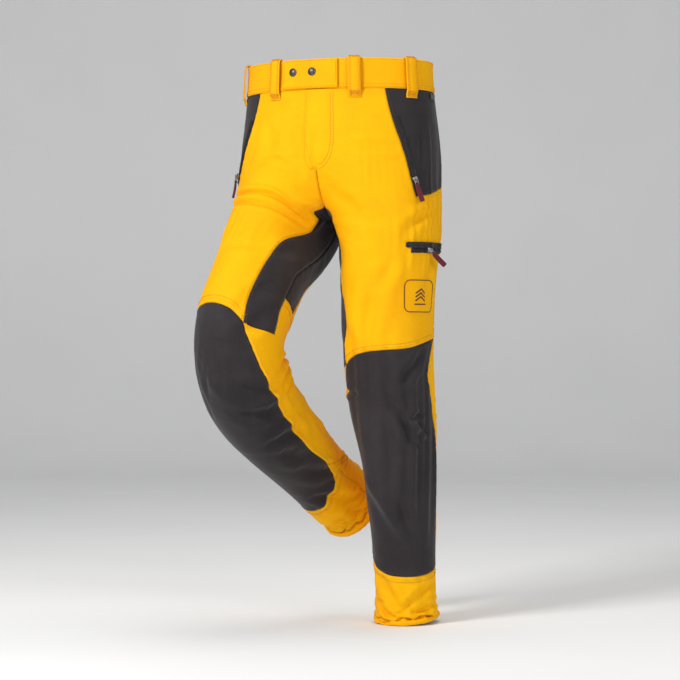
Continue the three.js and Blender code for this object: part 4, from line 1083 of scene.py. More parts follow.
def crotch_gusset(name, half):
    left = list(GUSSET_SEAM)
    right = [(180 - EDGE, GUSSET_TOP), (180 - EDGE, 370), (180 - EDGE, BACK_CROSS)]
    grid = coons(flat_line(GUSSET_TOP, 160, 180 - EDGE), flat_line(BACK_CROSS, 168, 180 - EDGE), left, right,
            18, 66)
    return panel(name, half, [grid], CHARCOAL, [left, right, flat_line(GUSSET_TOP, 160, 180)],
                 [(left, 4)], CHARCOAL_THREAD)


def seat_panel(name, half):
    side_up = part_of([(112, TOP), (109, 150), (106, 228), (103, 262)], TOP, GUSSET_TOP)
    side_down = [(103, 262), (SIDE_SEAM, 300), (SIDE_SEAM, 400), (SIDE_SEAM, BACK_CROSS)]
    back_line = [(180 - EDGE, TOP), (180 - EDGE, 150), (180 - EDGE, GUSSET_TOP)]
    middle_up = [(150, TOP), (155, 150), (160, GUSSET_TOP)]
    upper = coons(flat_line(TOP, 112, 150), flat_line(GUSSET_TOP, 103, 160), side_up, middle_up, 44, 62)
    centre = coons(flat_line(TOP, 150, 180 - EDGE), flat_line(GUSSET_TOP, 160, 180 - EDGE), middle_up,
            back_line, 26, 62)
    lower = coons(flat_line(GUSSET_TOP, 103, 160), flat_line(BACK_CROSS, SIDE_SEAM, 168), side_down,
            list(GUSSET_SEAM), 44, 66)
    cross = flat_line(BACK_CROSS, SIDE_SEAM, 168)
    seams = [side_up, side_down, back_line, list(GUSSET_SEAM), cross, flat_line(GUSSET_TOP, 160, 180),
            flat_line(TOP + 3, 112, 180)]
    rows = [(back_line, -4.5), (back_line, -11), (list(GUSSET_SEAM), -5), (cross, 5), (side_up, 5),
            (side_down, 5)]
    return panel(name, half, [upper, centre, lower], YELLOW, seams, rows, ORANGE_THREAD)


def knee_panel(name, half):
    right = [(SIDE_SEAM, knee_top(SIDE_SEAM))] + KNEE_OUTER[1:-1] + [(100, cuff_top(100))]
    left = [(16, knee_top(16))] + KNEE_INNER[1:-1] + [(8, cuff_top(8))]
    bottom = across(CUFF_TOP, 8, 100)
    grid = coons(knee_line, bottom, left, right, 64, 130)
    return panel(name, half, [grid], CHARCOAL, [knee_line, bottom, left, right],
                 [(right, -4.5), (left, 4.5), (bottom, 5)], CHARCOAL_THREAD)


def back_leg_panel(name, half):
    inner_top = 180 + EDGE, knee_top(0.5)
    outer_up = [(SIDE_SEAM, BACK_CROSS), (SIDE_SEAM, 508), (95, 530), (85, 562)]
    outer_down = [(85, 562), (82, 575), (92, 620), (98, 680), (100, 800), (100, cuff_top(100))]
    inner_down = [(196, knee_top(16)), (190, 600), (187, 640), (187, 800), (186, 900), (188, cuff_top(8))]
    upper = coons(flat_line(BACK_CROSS, SIDE_SEAM, 180 - EDGE), flat_line(562, 85, 180 - EDGE), outer_up,
                  [(180 - EDGE, BACK_CROSS), (180 - EDGE, 520), (180 - EDGE, 562)], 62, 26)
    middle = [(180 - EDGE, 562), (180, 640), (180, 800), (180, cuff_top(180))]
    lower = coons(flat_line(562, 85, 180 - EDGE),
            [(100, cuff_top(100)), (135, cuff_top(135)), (160, cuff_top(160)), (180, cuff_top(180))],
                  outer_down, middle, 62, 104)
    wrap = coons([(180 - EDGE, 562), (188, 560), (196, knee_top(16))],
                 [(180, cuff_top(180)), (184, cuff_top(4)), (188, cuff_top(8))], middle, inner_down, 10, 104)
    cross = flat_line(BACK_CROSS, SIDE_SEAM, 180)
    low = [(100, cuff_top(100)), (135, cuff_top(135)), (160, cuff_top(160)), (180, cuff_top(180)),
            (188, cuff_top(8))]
    calf_seam = [(187, 866), (174, 905), (158, 936), (140, 950)]
    rows = [(cross, -5), (cross, -11.5), (outer_up, 5), (outer_down, 5), (inner_down, -5), (low, 5),
            (calf_seam, 0), (calf_seam, 6.5)]
    return panel(name, half, [upper, lower, wrap], YELLOW,
            [cross, outer_up, outer_down, inner_down, low, calf_seam],
                 rows, ORANGE_THREAD)


def ring_grid(top, bottom, columns, rows):
    phi = np.linspace(0, 180, columns)
    high = np.array([top(p) for p in phi])
    low = np.array([bottom(p) for p in phi])
    t = np.linspace(0, 1, rows)[:, None]
    return np.stack([np.broadcast_to(phi, (rows, columns)), high * (1 - t) + low * t], axis=-1)


def cuff_panel(name, half):
    grid = ring_grid(lambda p: float(level(CUFF_TOP, p)), lambda p: OUTSEAM - HEM_BAND, 100, 34)
    top = [(p, OUTSEAM - h) for p, h in CUFF_TOP_HEIGHT]
    hem = flat_line(OUTSEAM - HEM_BAND, 0, 180)
    return panel(name, half, [grid], YELLOW, [top, hem], [(top, -5), (top, -10), (hem, 2.5)], ORANGE_THREAD,
            puckers=1.5)


def hem_band(name, half):
    grid = ring_grid(lambda p: OUTSEAM - HEM_BAND, lambda p: OUTSEAM - 0.5, 100, 8)
    hem = flat_line(OUTSEAM - HEM_BAND, 0, 180)
    edge = flat_line(OUTSEAM - 0.5, 0, 180)
    return panel(name, half, [grid], BAND_YELLOW, [hem, edge], [], rise=0.5, thickness=2.6, roll=0.7,
            puckers=1.5)


both("side_panel", ["side_panel"], side_panel, "hips_and_thighs")
both("front_panel", ["front_panel"], front_panel, "hips_and_thighs")
both("inner_thigh_panel", ["inner_thigh_panel"], inner_thigh_panel, "hips_and_thighs")
both("crotch_gusset", ["crotch_gusset"], crotch_gusset, "hips_and_thighs")
both("seat_panel", ["seat_panel"], seat_panel, "hips_and_thighs")
both("knee_panel", ["knee_yoke", "knee_fold", "shin_panel"], knee_panel, "blend")
both("back_leg_panel", ["back_thigh_panel", "calf_panel"], back_leg_panel, "blend")
both("cuff_panel", ["cuff_panel"], cuff_panel, "lower")
both("hem_band", ["hem_band"], hem_band, "lower")
for made in garment:
    declare(made)

# ---------------------------------------------------------------- waistband
BAND = 56
BAND_CLOTH = 3.2


def band_panel(name, half, phi0, phi1, v0, v1, rise, rows, columns, body, ends=(), corner=0.0):
    """A doubled band of cloth between two depths, with rows of stitching just inside its edges."""
    phi = np.linspace(phi0, phi1, columns)
    t = np.linspace(0, 1, rows)[:, None]
    grid = np.stack([np.broadcast_to(phi, (rows, columns)),
            v0 + (v1 - v0) * np.broadcast_to(t, (rows, columns))], axis=-1)
    if corner:
        # The free end is rounded at its corners.
        deep = np.minimum(grid[..., 1] - v0, v1 - grid[..., 1])
        cut = np.where(deep < corner, corner - np.sqrt(np.maximum(corner**2 - (corner - deep) ** 2, 0)), 0)
        share = np.clip((phi1 - grid[..., 0]) / (phi1 - phi0), 0, 1)
        grid[..., 0] += cut / 2.4 * share
    lines = [flat_line(v0, phi0, phi1), flat_line(v1, phi0, phi1)]
    sewn = [(flat_line(v0 + 3, phi0, phi1), 0), (flat_line(v1 - 3, phi0, phi1), 0)] + list(ends)
    made = panel(name, half, [grid], BAND_YELLOW, lines, sewn, YELLOW_THREAD, rise=rise, thickness=BAND_CLOTH,
                 roll=0.6, puckers=0.8)
    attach(made, body)
    return made


for half in HALVES:
    band = band_panel(f"waistband_{half}", half, 0.1, 179.9, 0, BAND, 0.4, 20, 150, "hips_and_thighs",
                      [(flat_line(BAND - 8, 0.5, 179.5), 0)])
    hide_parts(f"waistband_{half}")
    declare(band)
TAB_RISE = BAND_CLOTH + 1.6
tab = band_panel("waistband_tab", "L", -21.3, 14, 0.8, BAND - 1.2, TAB_RISE, 20, 40, "waistband_tab",
                 [([(-20.0, 5), (-20.0, 28), (-20.0, 51)], 0), ([(13, 4), (13, 28), (13, 52)], 0)], corner=5)
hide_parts("waistband_tab")
declare(tab)


# ---------------------------------------------------------------- belt loops
LOOP_WIDTH = 23
LOOPS = {"front_L": 24, "front_R": 27, "side_L": 63, "side_R": 70, "back_L": 124, "back_R": 124,
        "centre_back": 180}


def swept(half, phi, path, width, thickness, columns=11):
    """A strip of cloth that follows (rise, v) points at one place round the waist, as outer and inner grids."""
    path = np.asarray(path, float)
    run = np.concatenate([[0], np.cumsum(np.hypot(*np.diff(path, axis=0).T))])
    at = np.linspace(0, run[-1], 64)
    rise, v = np.interp(at, run, path[:, 0]), np.interp(at, run, path[:, 1])
    for _ in range(5):
        rise[1:-1] = (rise[:-2] + 2 * rise[1:-1] + rise[2:]) / 4
        v[1:-1] = (v[:-2] + 2 * v[1:-1] + v[2:]) / 4
    out_v, out_r = -np.gradient(rise), np.gradient(v)
    size = np.hypot(out_v, out_r) + 1e-9
    out_v, out_r = out_v / size, out_r / size
    near = skin(half, phi - 1, 30.0)
    per_phi = np.linalg.norm(skin(half, phi + 1, 30.0) - near) / 2
    u = np.linspace(-width / 2, width / 2, columns)
    # Each long edge is turned in, so that it is a little rounder and thinner than the middle.
    edge = 0.35 + 0.65 * np.clip((width / 2 - np.abs(u)) / 1.6, 0, 1) ** 0.5
    belly = 0.3 * np.cos(u / width * math.pi * 3)
    layers = []
    for sign in (1, -1):
        half_cloth = sign * thickness / 2 * edge[None, :]
        layers.append(skin(half, phi + u[None, :] / per_phi, v[:, None] + out_v[:, None] * half_cloth,
                           rise[:, None] + out_r[:, None] * (half_cloth + belly[None, :])))
    flat = np.stack(np.broadcast_arrays(u[None, :] + phi * 1.9, at[:, None]), axis=-1)
    return layers[0], layers[1], flat


def closed_strip(outer, inner, flip=False):
    """Points and faces of a closed sheet from an outer and an inner grid."""
    rows, columns = outer.shape[:2]
    n = rows * columns
    number = np.arange(n).reshape(rows, columns)
    faces = np.stack([number[:-1, :-1], number[1:, :-1], number[1:, 1:], number[:-1, 1:]],
            axis=-1).reshape(-1, 4)
    rim = rim_edges(faces)
    walls = np.stack([rim[:, 1], rim[:, 0], rim[:, 0] + n, rim[:, 1] + n], axis=-1)
    everything = np.concatenate([faces, faces[:, ::-1] + n, walls])
    if flip:
        everything = everything[:, ::-1]
    return np.concatenate([outer.reshape(-1, 3), inner.reshape(-1, 3)]), everything.tolist()


def normals_of(grid):
    n = np.cross(np.gradient(grid, axis=0), np.gradient(grid, axis=1))
    return n / (np.linalg.norm(n, axis=-1, keepdims=True) + 1e-9)


def outward(points, normal, half):
    return normal * (-1 if half == "R" else 1)


for tag, phi in LOOPS.items():
    half = "R" if tag.endswith("R") else "L"
    path = [(-2.6, 7), (-2.4, 0.5), (-0.8, -2.4), (3, -3.2), (6.6, -1.6), (8.8, 6), (8.8, 52), (7.4, 60),
            (2.8, 66), (2.2, 72.5)]
    outer, inner, flat = swept(half, phi, path, LOOP_WIDTH, 2.0)
    parts = [closed_strip(outer, inner, half == "R")]
    slots = [0] * len(parts[0][1])
    normal = normals_of(outer) * (-1 if half == "R" else 1)
    for column in (1, 2, 8, 9):
        made = thread_run(outer[6:-1, column] + normal[6:-1, column] * 0.25, normal[6:-1, column], margin=1.0)
        parts.append(made)
    # Bartacks hold the loop at its top fold and at its foot.
    for row in (10, 12, 55, 57, 59, 61):
        made = thread_run(outer[row, 1:-1] + normal[row, 1:-1] * 0.35, normal[row, 1:-1], 2.4, 0.2, 1.3, 0.7,
                0.3)
        parts.append(made)
    for p in parts[1:]:
        slots += [1] * len(p[1])
    points, faces = joined(parts)
    flats = np.zeros((len(points), 2))
    flats[: flat.shape[0] * flat.shape[1] * 2] = np.concatenate([flat.reshape(-1, 2)] * 2)
    loop = make_object(f"belt_loop_{tag}", points, faces, [BAND_YELLOW, YELLOW_THREAD], flat=flats,
            slots=slots)
    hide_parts(f"belt_loop_{tag}")
    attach(loop, "hips_and_thighs")


# ---------------------------------------------------------------- small hard parts
def local_frame(origin, out, along):
    """A matrix, in millimetres, whose +X points out of the cloth and +Z along it."""
    out = np.asarray(out, float) / np.linalg.norm(out)
    along = np.asarray(along, float) - out * np.dot(along, out)
    along /= np.linalg.norm(along)
    return np.stack([out, np.cross(along, out), along, np.asarray(origin, float)], axis=1)


def set_in(matrix, points):
    return np.asarray(points) @ matrix[:, :3].T + matrix[:, 3]


def turned(profile, segments=40):
    """A lathe solid about +X from (radius, height) points that start and end on the axis."""
    angle = np.linspace(0, 2 * math.pi, segments, endpoint=False)
    rings = profile[1:-1]
    points = [(profile[0][1], 0, 0)]
    points += [(h, r * math.cos(a), r * math.sin(a)) for r, h in rings for a in angle]
    points.append((profile[-1][1], 0, 0))
    faces = [[0, 1 + (k + 1) % segments, 1 + k] for k in range(segments)]
    for i in range(len(rings) - 1):
        a, b = 1 + i * segments, 1 + (i + 1) * segments
        faces += [[a + k, a + (k + 1) % segments, b + (k + 1) % segments, b + k] for k in range(segments)]
    a, last = 1 + (len(rings) - 1) * segments, len(points) - 1
    faces += [[a + k, a + (k + 1) % segments, last] for k in range(segments)]
    return np.array(points, float), faces


def slab(outline_points, low, high, bevel=0.35):
    """A plate with softened edges: a (y, z) outline raised from low to high along +X."""
    outline_points = np.asarray(outline_points, float)
    centre = outline_points.mean(axis=0)
    n = len(outline_points)
    rings = []
    for x, inset in ((low, bevel), (low + bevel, 0), (high - bevel, 0), (high, bevel)):
        reach = outline_points - centre
        size = np.linalg.norm(reach, axis=1, keepdims=True)
        rings.append(np.column_stack([np.full(n, x), centre + reach * (1 - inset / size)]))
    points = np.concatenate(rings)
    faces = [[i * n + k, i * n + (k + 1) % n, (i + 1) * n + (k + 1) % n,
            (i + 1) * n + k] for i in range(3) for k in range(n)]
    faces.append(list(range(n))[::-1])
    faces.append([3 * n + k for k in range(n)])
    return points, faces


def tube(path, radius, closed=False, sides=10):
    """A round wire along a path of points."""
    path = np.asarray(path, float)
    ahead = np.roll(path, -1, axis=0) if closed else np.concatenate([path[1:], path[-1:] * 2 - path[-2:-1]])
    behind = np.roll(path, 1, axis=0) if closed else np.concatenate([path[:1] * 2 - path[1:2], path[:-1]])
    way = ahead - behind
    way /= np.linalg.norm(way, axis=1, keepdims=True)
    spread = np.cov(path.T)
    flat_normal = np.linalg.eigh(spread)[1][:, 0]
    side = np.cross(way, flat_normal)
    side /= np.linalg.norm(side, axis=1, keepdims=True)
    up = np.cross(side, way)
    angle = np.linspace(0, 2 * math.pi, sides, endpoint=False)
    rings = path[:, None] + radius * (side[:, None] * np.cos(angle)[None, :, None] + up[:,
            None] * np.sin(angle)[None, :, None])
    n = len(path)
    faces = []
    for i in range(n if closed else n - 1):
        a, b = i * sides, ((i + 1) % n) * sides
        faces += [[a + k, b + k, b + (k + 1) % sides, a + (k + 1) % sides] for k in range(sides)]
    if not closed:
        faces.append(list(range(sides)))
        faces.append([(n - 1) * sides + k for k in range(sides)][::-1])
    return rings.reshape(-1, 3), faces


def place_hard(name, parts, matrix, material, replaced, body):
    points, faces = joined(parts)
    made = make_object(name, set_in(matrix, points), faces, [material], smooth_faces=True)
    bevelled = made.modifiers.new("edges", "WEIGHTED_NORMAL")
    bevelled.keep_sharp = True
    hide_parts(*replaced)
    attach(made, body)
    return made


def skin_frame(half, phi, v, rise=0.0):
    origin = skin(half, phi, v, rise)
    out = skin(half, phi, v, 1.0) - skin(half, phi, v)
    return local_frame(origin, out, skin(half, phi, v - 2.0) - skin(half, phi, v + 2.0))


# ---------------------------------------------------------------- press studs
for i, phi in enumerate((-13.7, -1.4)):
    seat = skin_frame("L", phi, 24, TAB_RISE + BAND_CLOTH / 2 + 0.1)
    cap = turned([(0, 0), (7.6, 0), (7.9, 0.5), (7.7, 1.1), (6.9, 1.5), (6.6, 1.35), (6.3, 1.5), (5.6, 2.3),
            (4.2, 2.95), (2.2, 3.3), (0, 3.4)])
    place_hard(f"snap_cap_{i + 1}", [cap], seat, GUNMETAL, [f"snap_cap_{i + 1}"], "waistband_tab")
    back_seat = skin_frame("L", phi, 24, -BAND_CLOTH / 2 - 1.9)
    stud = turned([(0, 0.0), (4.6, 0), (5.0, 0.4), (5.0, 1.0), (3.4, 1.2), (2.4, 1.6), (0, 1.6)])
    place_hard(f"snap_stud_{i + 1}", [stud], back_seat, GUNMETAL, [f"snap_stud_{i + 1}"], "hips_and_thighs")

# ---------------------------------------------------------------- fly
def placket_grid():
    free = curve_through([(-5.4, BAND + 1), (-5.4, 150), (-3.6, 196), (-2.2, 205)], 70)
    sewn = curve_through([(9.4, BAND + 1), (9.2, 150), (5.4, 188), (-0.6, 205)], 70)
    t = np.linspace(0, 1, 18)[None, :, None]
    return free[:, None] * (1 - t) + sewn[:, None] * t


def placket_rise(phi, v):
    """The flap stands off at its free edge and sinks into the front where it is sewn down."""
    sewn = np.interp(v, [BAND, 150, 188, 205], [9.4, 9.2, 5.4, -0.6])
    return 2.3 * smooth((sewn - phi) / 5) - 0.9 * (1 - smooth((sewn - phi) / 2)) - 1.2 * smooth((v - 192)
            / 14)


free_edge = [(-5.4, BAND + 1), (-5.4, 150), (-3.6, 196)]
placket = panel("fly_placket", "L", [placket_grid()], YELLOW, [free_edge],
                [([(-4.0, 60), (-4.0, 150), (-2.6, 192)], 0)], YELLOW_THREAD, rise=placket_rise,
                    thickness=2.0, roll=0.5)
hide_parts("fly_placket")
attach(placket, "fly_flap")
declare(placket)
shield_grid = np.stack(np.meshgrid(np.linspace(-9, 9, 18), np.linspace(60, 200, 50)), axis=-1)
shield = panel("fly_shield", "L", [shield_grid], YELLOW,
        [[(-9, 60), (-9, 130), (-9, 200)], [(9, 60), (9, 130), (9, 200)]],
               [([(-7, 64), (-7, 130), (-7, 196)], 0)], YELLOW_THREAD, rise=-11.5, thickness=2.0, roll=0.4)
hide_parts("fly_shield")
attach(shield, "hips_and_thighs")
declare(shield)


# ---------------------------------------------------------------- zips
def zip_chain(name, half, curve, rise, replaced, tape=6.0):
    """A coil zip laid along a curve of (phi, v): two ribbons of tape and two interlocked rows of coil."""
    places = curve_through(curve, 120)
    edges = [shifted(half, places, k * tape) for k in np.linspace(-1, 1, 9)]
    grid = np.stack(edges, axis=1)
    ripple = 0.25 * np.sin(np.arange(120) / 3.1)[:, None] * np.linspace(-1, 1, 9)[None, :]
    outer = skin(half, grid[..., 0], grid[..., 1], rise + 0.35 + ripple)
    inner = skin(half, grid[..., 0], grid[..., 1], rise - 0.35 + ripple)
    points, faces = closed_strip(outer, inner, half == "R")
    flats = np.concatenate([grid.reshape(-1, 2) * [1.9, 1]] * 2)
    made = make_object(name, points, faces, [TAPE], flat=flats)
    centre = skin(half, places[:, 0], places[:, 1], rise + 0.9)
    normal = lift_of(half, places)
    run = np.concatenate([[0], np.cumsum(np.linalg.norm(np.diff(centre, axis=0), axis=1))])
    aside = np.cross(np.gradient(centre, axis=0), normal)
    aside /= np.linalg.norm(aside, axis=1, keepdims=True)
    # Each tooth is one turn of the coil, drawn coarser than its real 1.2 mm pitch.
    teeth = joined([thread_teeth(centre + aside * 1.35 * sign, normal, aside, run, sign) for sign in (-1, 1)])
    coil = make_object(name + "_coil", *teeth, [COIL])
    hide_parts(*replaced)
    for one in (made, coil):
        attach(one, "hips_and_thighs")
    return made


def thread_teeth(line, normal, aside, run, sign, pitch=1.9):
    starts = np.arange(1.5, run[-1] - 1.5, pitch) + (pitch / 2 if sign > 0 else 0)
    points, faces = [], []
    for k, at in enumerate(starts):
        c = np.array([np.interp(at, run, line[:, j]) for j in range(3)])
        n = np.array([np.interp(at, run, normal[:, j]) for j in range(3)])
        s = np.array([np.interp(at, run, aside[:, j]) for j in range(3)])
        w = np.cross(n, s)
        arc = np.linspace(0, math.pi, 6)
        base = len(points)
        for a in arc:
            middle = c - s * sign * 1.45 * math.cos(a) + n * 1.1 * math.sin(a)
            for d in (-0.5, 0.5):
                points.append(middle + w * d * pitch * 0.72 + n * 0.25)
                points.append(middle + w * d * pitch * 0.72 - n * 0.35)
        for i in range(5):
            a = base + i * 4
            faces += [[a, a + 4, a + 6, a + 2], [a + 1, a + 3, a + 7, a + 5], [a, a + 1, a + 5, a + 4],
                    [a + 2, a + 6, a + 7, a + 3]]
        faces += [[base, base + 2, base + 3, base + 1], [base + 20, base + 21, base + 23, base + 22]]
    return np.array(points), faces


def slider_parts():
    """A zip slider: a shield-shaped top plate, side flanges and a bridge for the pull."""
    shield_outline = [(-4.8, 3.2), (-4.4, 4.9), (-2.6, 5.6), (0, 5.0), (2.6, 5.6), (4.4, 4.9), (4.8, 3.2),
            (3.6, -4.4), (2.6, -5.5), (-2.6, -5.5), (-3.6, -4.4)][::-1]
    top_plate = slab(shield_outline, 3.1, 4.6, 0.45)
    left = slab([(3.4, -4.6), (4.7, 3.4), (4.0, 3.6), (2.7, -4.6)], 1.0, 4.2, 0.2)
    right = slab([(-2.7, -4.6), (-4.0, 3.6), (-4.7, 3.4), (-3.4, -4.6)], 1.0, 4.2, 0.2)
    arch = [(4.3 + 2.9 * math.sin(a), 0, -3.6 * math.cos(a)) for a in np.linspace(0.05, math.pi - 0.05, 14)]
    return [top_plate, left, right, tube(arch, 0.85)]


def pull_parts(droop=0.0, length=34, sag=3.0):
    """A wire ring and a folded ribbon through it, running towards -Z from the slider's bridge."""
    eye, wide, long = 6.3, 3.4, 9.6
    corner = [(-wide, -0.6), (-wide * 0.75, -1.6), (0, -1.9), (wide * 0.75, -1.6), (wide, -0.6),
            (wide * 0.95, 5), (wide * 0.9, long - 1), (wide * 0.6, long), (0, long + 0.2),
                (-wide * 0.6, long), (-wide * 0.9, long - 1), (-wide * 0.95, 5)]
    a = math.radians(droop)
    way = np.array([-math.sin(a), -math.cos(a)])
    cross_way = np.array([way[1], -way[0]])
    first = np.array([0, -1.0]) * 0
    flat_ring = [first + way * y + cross_way * x for x, y in corner]
    ring_path = [(eye + 0.9 * math.exp(-((y / 3) ** 2)) - 0.12 * y, p[0], p[1]) for p,
            (x, y) in zip(flat_ring, corner)]
    ring = tube(resample(ring_path, 60), 0.75, closed=True)
    t = np.linspace(0, 1, 30)
    u = np.linspace(-1, 1, 9)
    start = way * (long - 1.4)
    half_wide = 3.6 + 1.3 * smooth(t
            * 6) - 0.5 * np.exp(-(((t - 0.16) / 0.04) ** 2)) - 0.9 * smooth((t - 0.95) / 0.05)
    x = eye - 1.2 - sag * np.sin(t * 2.4) * 0.5 - 0.8 * t
    layers = []
    for sign in (1, -1):
        thick = sign * (1.25 + 0.5 * np.exp(-(((t - 0.04) / 0.06) ** 2)) - 0.4
                * np.exp(-(((t - 0.17) / 0.03) ** 2)))[:, None]
        rib = 0.22 * sign * np.cos(u * math.pi * 2.5)[None, :] + 0.12 * sign * np.sin(t * 70)[:, None]
        taper = np.sqrt(np.clip(1.02 - u**6, 0.1, 1))[None, :]
        px = x[:, None] + (thick + rib) * taper
        base = start[None, :] + way[None, :] * (t * length)[:, None]
        p = base[:, None, :] + cross_way[None, None, :] * (half_wide[:, None] * u[None, :])[..., None]
        layers.append(np.concatenate([px[..., None], p], axis=-1))
    ribbon = closed_strip(layers[0], layers[1], True)
    return ring, ribbon, layers[0]


def resample(path, count):
    path = np.asarray(path + path[:1], float)
    for _ in range(3):
        fine = np.empty((len(path) * 2 - 2, 3))
        fine[0::2] = 0.75 * path[:-1] + 0.25 * path[1:]
        fine[1::2] = 0.25 * path[:-1] + 0.75 * path[1:]
        path = np.concatenate([fine, fine[:1]])
    run = np.concatenate([[0], np.cumsum(np.linalg.norm(np.diff(path, axis=0), axis=1))])
    at = np.linspace(0, run[-1], count, endpoint=False)
    return np.stack([np.interp(at, run, path[:, k]) for k in range(3)], axis=-1)


def centre_of(cad_node):
    low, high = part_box(cad_node)
    return (np.array(low) + np.array(high)) / 2 / MM


def add_slider(tag, matrix, droop, slider_body, pull_body, sag):
    place_hard(f"{tag}_slider", slider_parts(), matrix, STEEL, [f"{tag}_slider"], slider_body)
    ring, ribbon, grid = pull_parts(droop, sag=sag)
    points, faces = joined([ring, ribbon])
    stitched = []
    normal = np.zeros_like(grid[:, 2])
    normal[:, 0] = 1
    for column in (2, 6):
        stitched.append(thread_run(grid[1:9, column] + normal[1:9] * 0.2, normal[1:9], 2.0, 0.8, 0.7, 0.5,
                0.2))
    points, faces = joined([(points, faces)] + stitched)
    slots = [1] * len(ring[1]) + [0] * len(ribbon[1]) + [2] * sum(len(p[1]) for p in stitched)
    flats = points[:, 1:]
    made = make_object(f"{tag}_pull", set_in(matrix, points), faces, [RIBBON, STEEL, CHARCOAL_THREAD],
            flat=flats, slots=slots)
    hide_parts(f"{tag}_pull")
    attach(made, pull_body)


for half, word in (("L", "left"), ("R", "right")):
    line = [(48.8, 104), (55.6, 170), (61.6, 238)]
    zip_chain(f"pocket_{half}_zip", half, line, 2.2, [f"pocket_{half}_zip"], tape=5.2)
    top, low = skin(half, 45.2, 92.0), skin(half, 59.5, 236.0)
    out = skin(half, 52.6, 165.0, 1.0) - skin(half, 52.6, 165.0)
    middle = skin(half, 60.3, 221.5, 2.4)
    matrix = local_frame(middle, out, top - low)
    add_slider(f"pocket_{half}", matrix, 0, f"{word}_pocket_slider", f"{word}_pocket_pull", 3.0)

zip_chain("fly_zip", "L", [(0.4, 64), (0.4, 127), (0.4, 190)], -4.2, ["fly_zip"], tape=5.5)
fly_out = skin("L", 0.5, 130.0, 1.0) - skin("L", 0.5, 130.0)
fly_matrix = local_frame(centre_of("fly_slider") - fly_out * 2.6, fly_out,
        skin("L", 0.5, 64.0) - skin("L", 0.5, 190.0))
place_hard("fly_slider", slider_parts()[:3], fly_matrix, STEEL, ["fly_slider"], "fly_slider")

# ---------------------------------------------------------------- thigh pocket
def lozenge_grid(phi0, phi1, v0, v1, corner, columns, rows, per_phi):
    """A strip round the leg whose corners are rounded by some millimetres."""
    t = np.linspace(0, 1, rows)[:, None]
    s = np.linspace(0, 1, columns)[None, :]
    deep = np.minimum(t, 1 - t) * (v1 - v0)
    cut = np.where(deep < corner, corner - np.sqrt(np.maximum(corner**2 - (corner - deep) ** 2, 0)),
            0) / per_phi
    phi = phi0 + cut + (phi1 - phi0 - 2 * cut) * s
    return np.stack([phi, np.broadcast_to(v0 + (v1 - v0) * t, phi.shape)], axis=-1)


welt_grid = lozenge_grid(55, 112, 332.5, 343, 2.5, 60, 14, 1.55)
welt = panel("cargo_welt", "L", [welt_grid], CHARCOAL, [],
        [(flat_line(335, 57, 110), 0), (flat_line(341, 57, 110), 0)],
             CHARCOAL_THREAD, rise=2.6, thickness=2.2)
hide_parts("cargo_welt")
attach(welt, "hips_and_thighs")
declare(welt)
zip_chain("cargo_zip", "L", [(59, 347), (83, 347), (107, 347)], 1.9, ["cargo_zip"], tape=5.2)
cargo_phi = 59 + 0.36 * 48
cargo_out = skin("L", cargo_phi, 347.0, 1.0) - skin("L", cargo_phi, 347.0)
cargo_way = skin("L", cargo_phi - 2, 347.0) - skin("L", cargo_phi + 2, 347.0)
cargo_matrix = local_frame(skin("L", cargo_phi, 347.0, 1.9), cargo_out, cargo_way)
add_slider("cargo", cargo_matrix, 40, "thigh_pocket_slider", "thigh_pocket_pull", 4.0)


def bag(name, half, phi0, phi1, v0, v1):
    grid = lozenge_grid(phi0, phi1, v0, v1, 22, 40, 46, 1.6)
    made = panel(name, half, [grid], POCKETING,
            [[(phi0, v0), (phi0, (v0 + v1) / 2), (phi0, v1)],
                [(phi1, v0), (phi1, (v0 + v1) / 2), (phi1, v1)]],
                 [(flat_line(v1 - 4, phi0 + 12, phi1 - 12), 0)], CHARCOAL_THREAD, rise=-4.4, thickness=1.4,
                     inside=POCKETING)
    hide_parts(name)
    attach(made, "hips_and_thighs")
    declare(made)


bag("cargo_bag", "L", 52, 98, 350, 500)
for half in HALVES:
    bag(f"pocket_{half}_bag", half, 26, 60, 92, 236)


# ---------------------------------------------------------------- badge and tag
BADGE_PHI, BADGE_V = 71, 430
BADGE_ROUND = np.linspace(30, 110, 161)
badge_line = skin("L", BADGE_ROUND, np.full(161, float(BADGE_V)))
BADGE_ARC = np.concatenate([[0], np.cumsum(np.linalg.norm(np.diff(badge_line, axis=0), axis=1))])
BADGE_ARC -= np.interp(BADGE_PHI, BADGE_ROUND, BADGE_ARC)


def on_badge(x, y, rise):
    """A place on the badge, x millimetres round the leg and y up from the badge's middle."""
    return skin("L", np.interp(np.asarray(x), BADGE_ARC, BADGE_ROUND), BADGE_V - np.asarray(y), rise)


def print_band(line, width, closed, rise=CLOTH / 2 + 0.95):
    """A thin raised band of print along a line of (x, y) points on the badge."""
    line = np.asarray(line, float)
    way = (np.roll(line, -1, axis=0) - np.roll(line, 1, axis=0)) if closed else np.gradient(line, axis=0)
    way /= np.linalg.norm(way, axis=1, keepdims=True) + 1e-9
    side = np.stack([way[:, 1], -way[:, 0]], axis=-1) * width / 2
    n = len(line)
    rings = []
    for k, h in ((-1, -0.35), (-1, 0.25), (1, 0.25), (1, -0.35)):
        p = line + side * k
        rings.append(on_badge(p[:, 0], p[:, 1], rise + h))
    points = np.stack(rings, axis=1).reshape(-1, 3)
    faces = []
    for i in range(n if closed else n - 1):
        a, b = i * 4, ((i + 1) % n) * 4
        faces += [[a + k, a + (k + 1) % 4, b + (k + 1) % 4, b + k] for k in range(4)]
    if not closed:
        faces += [[0, 3, 2, 1], [4 * n - 4 + k for k in range(4)]]
    return points, faces


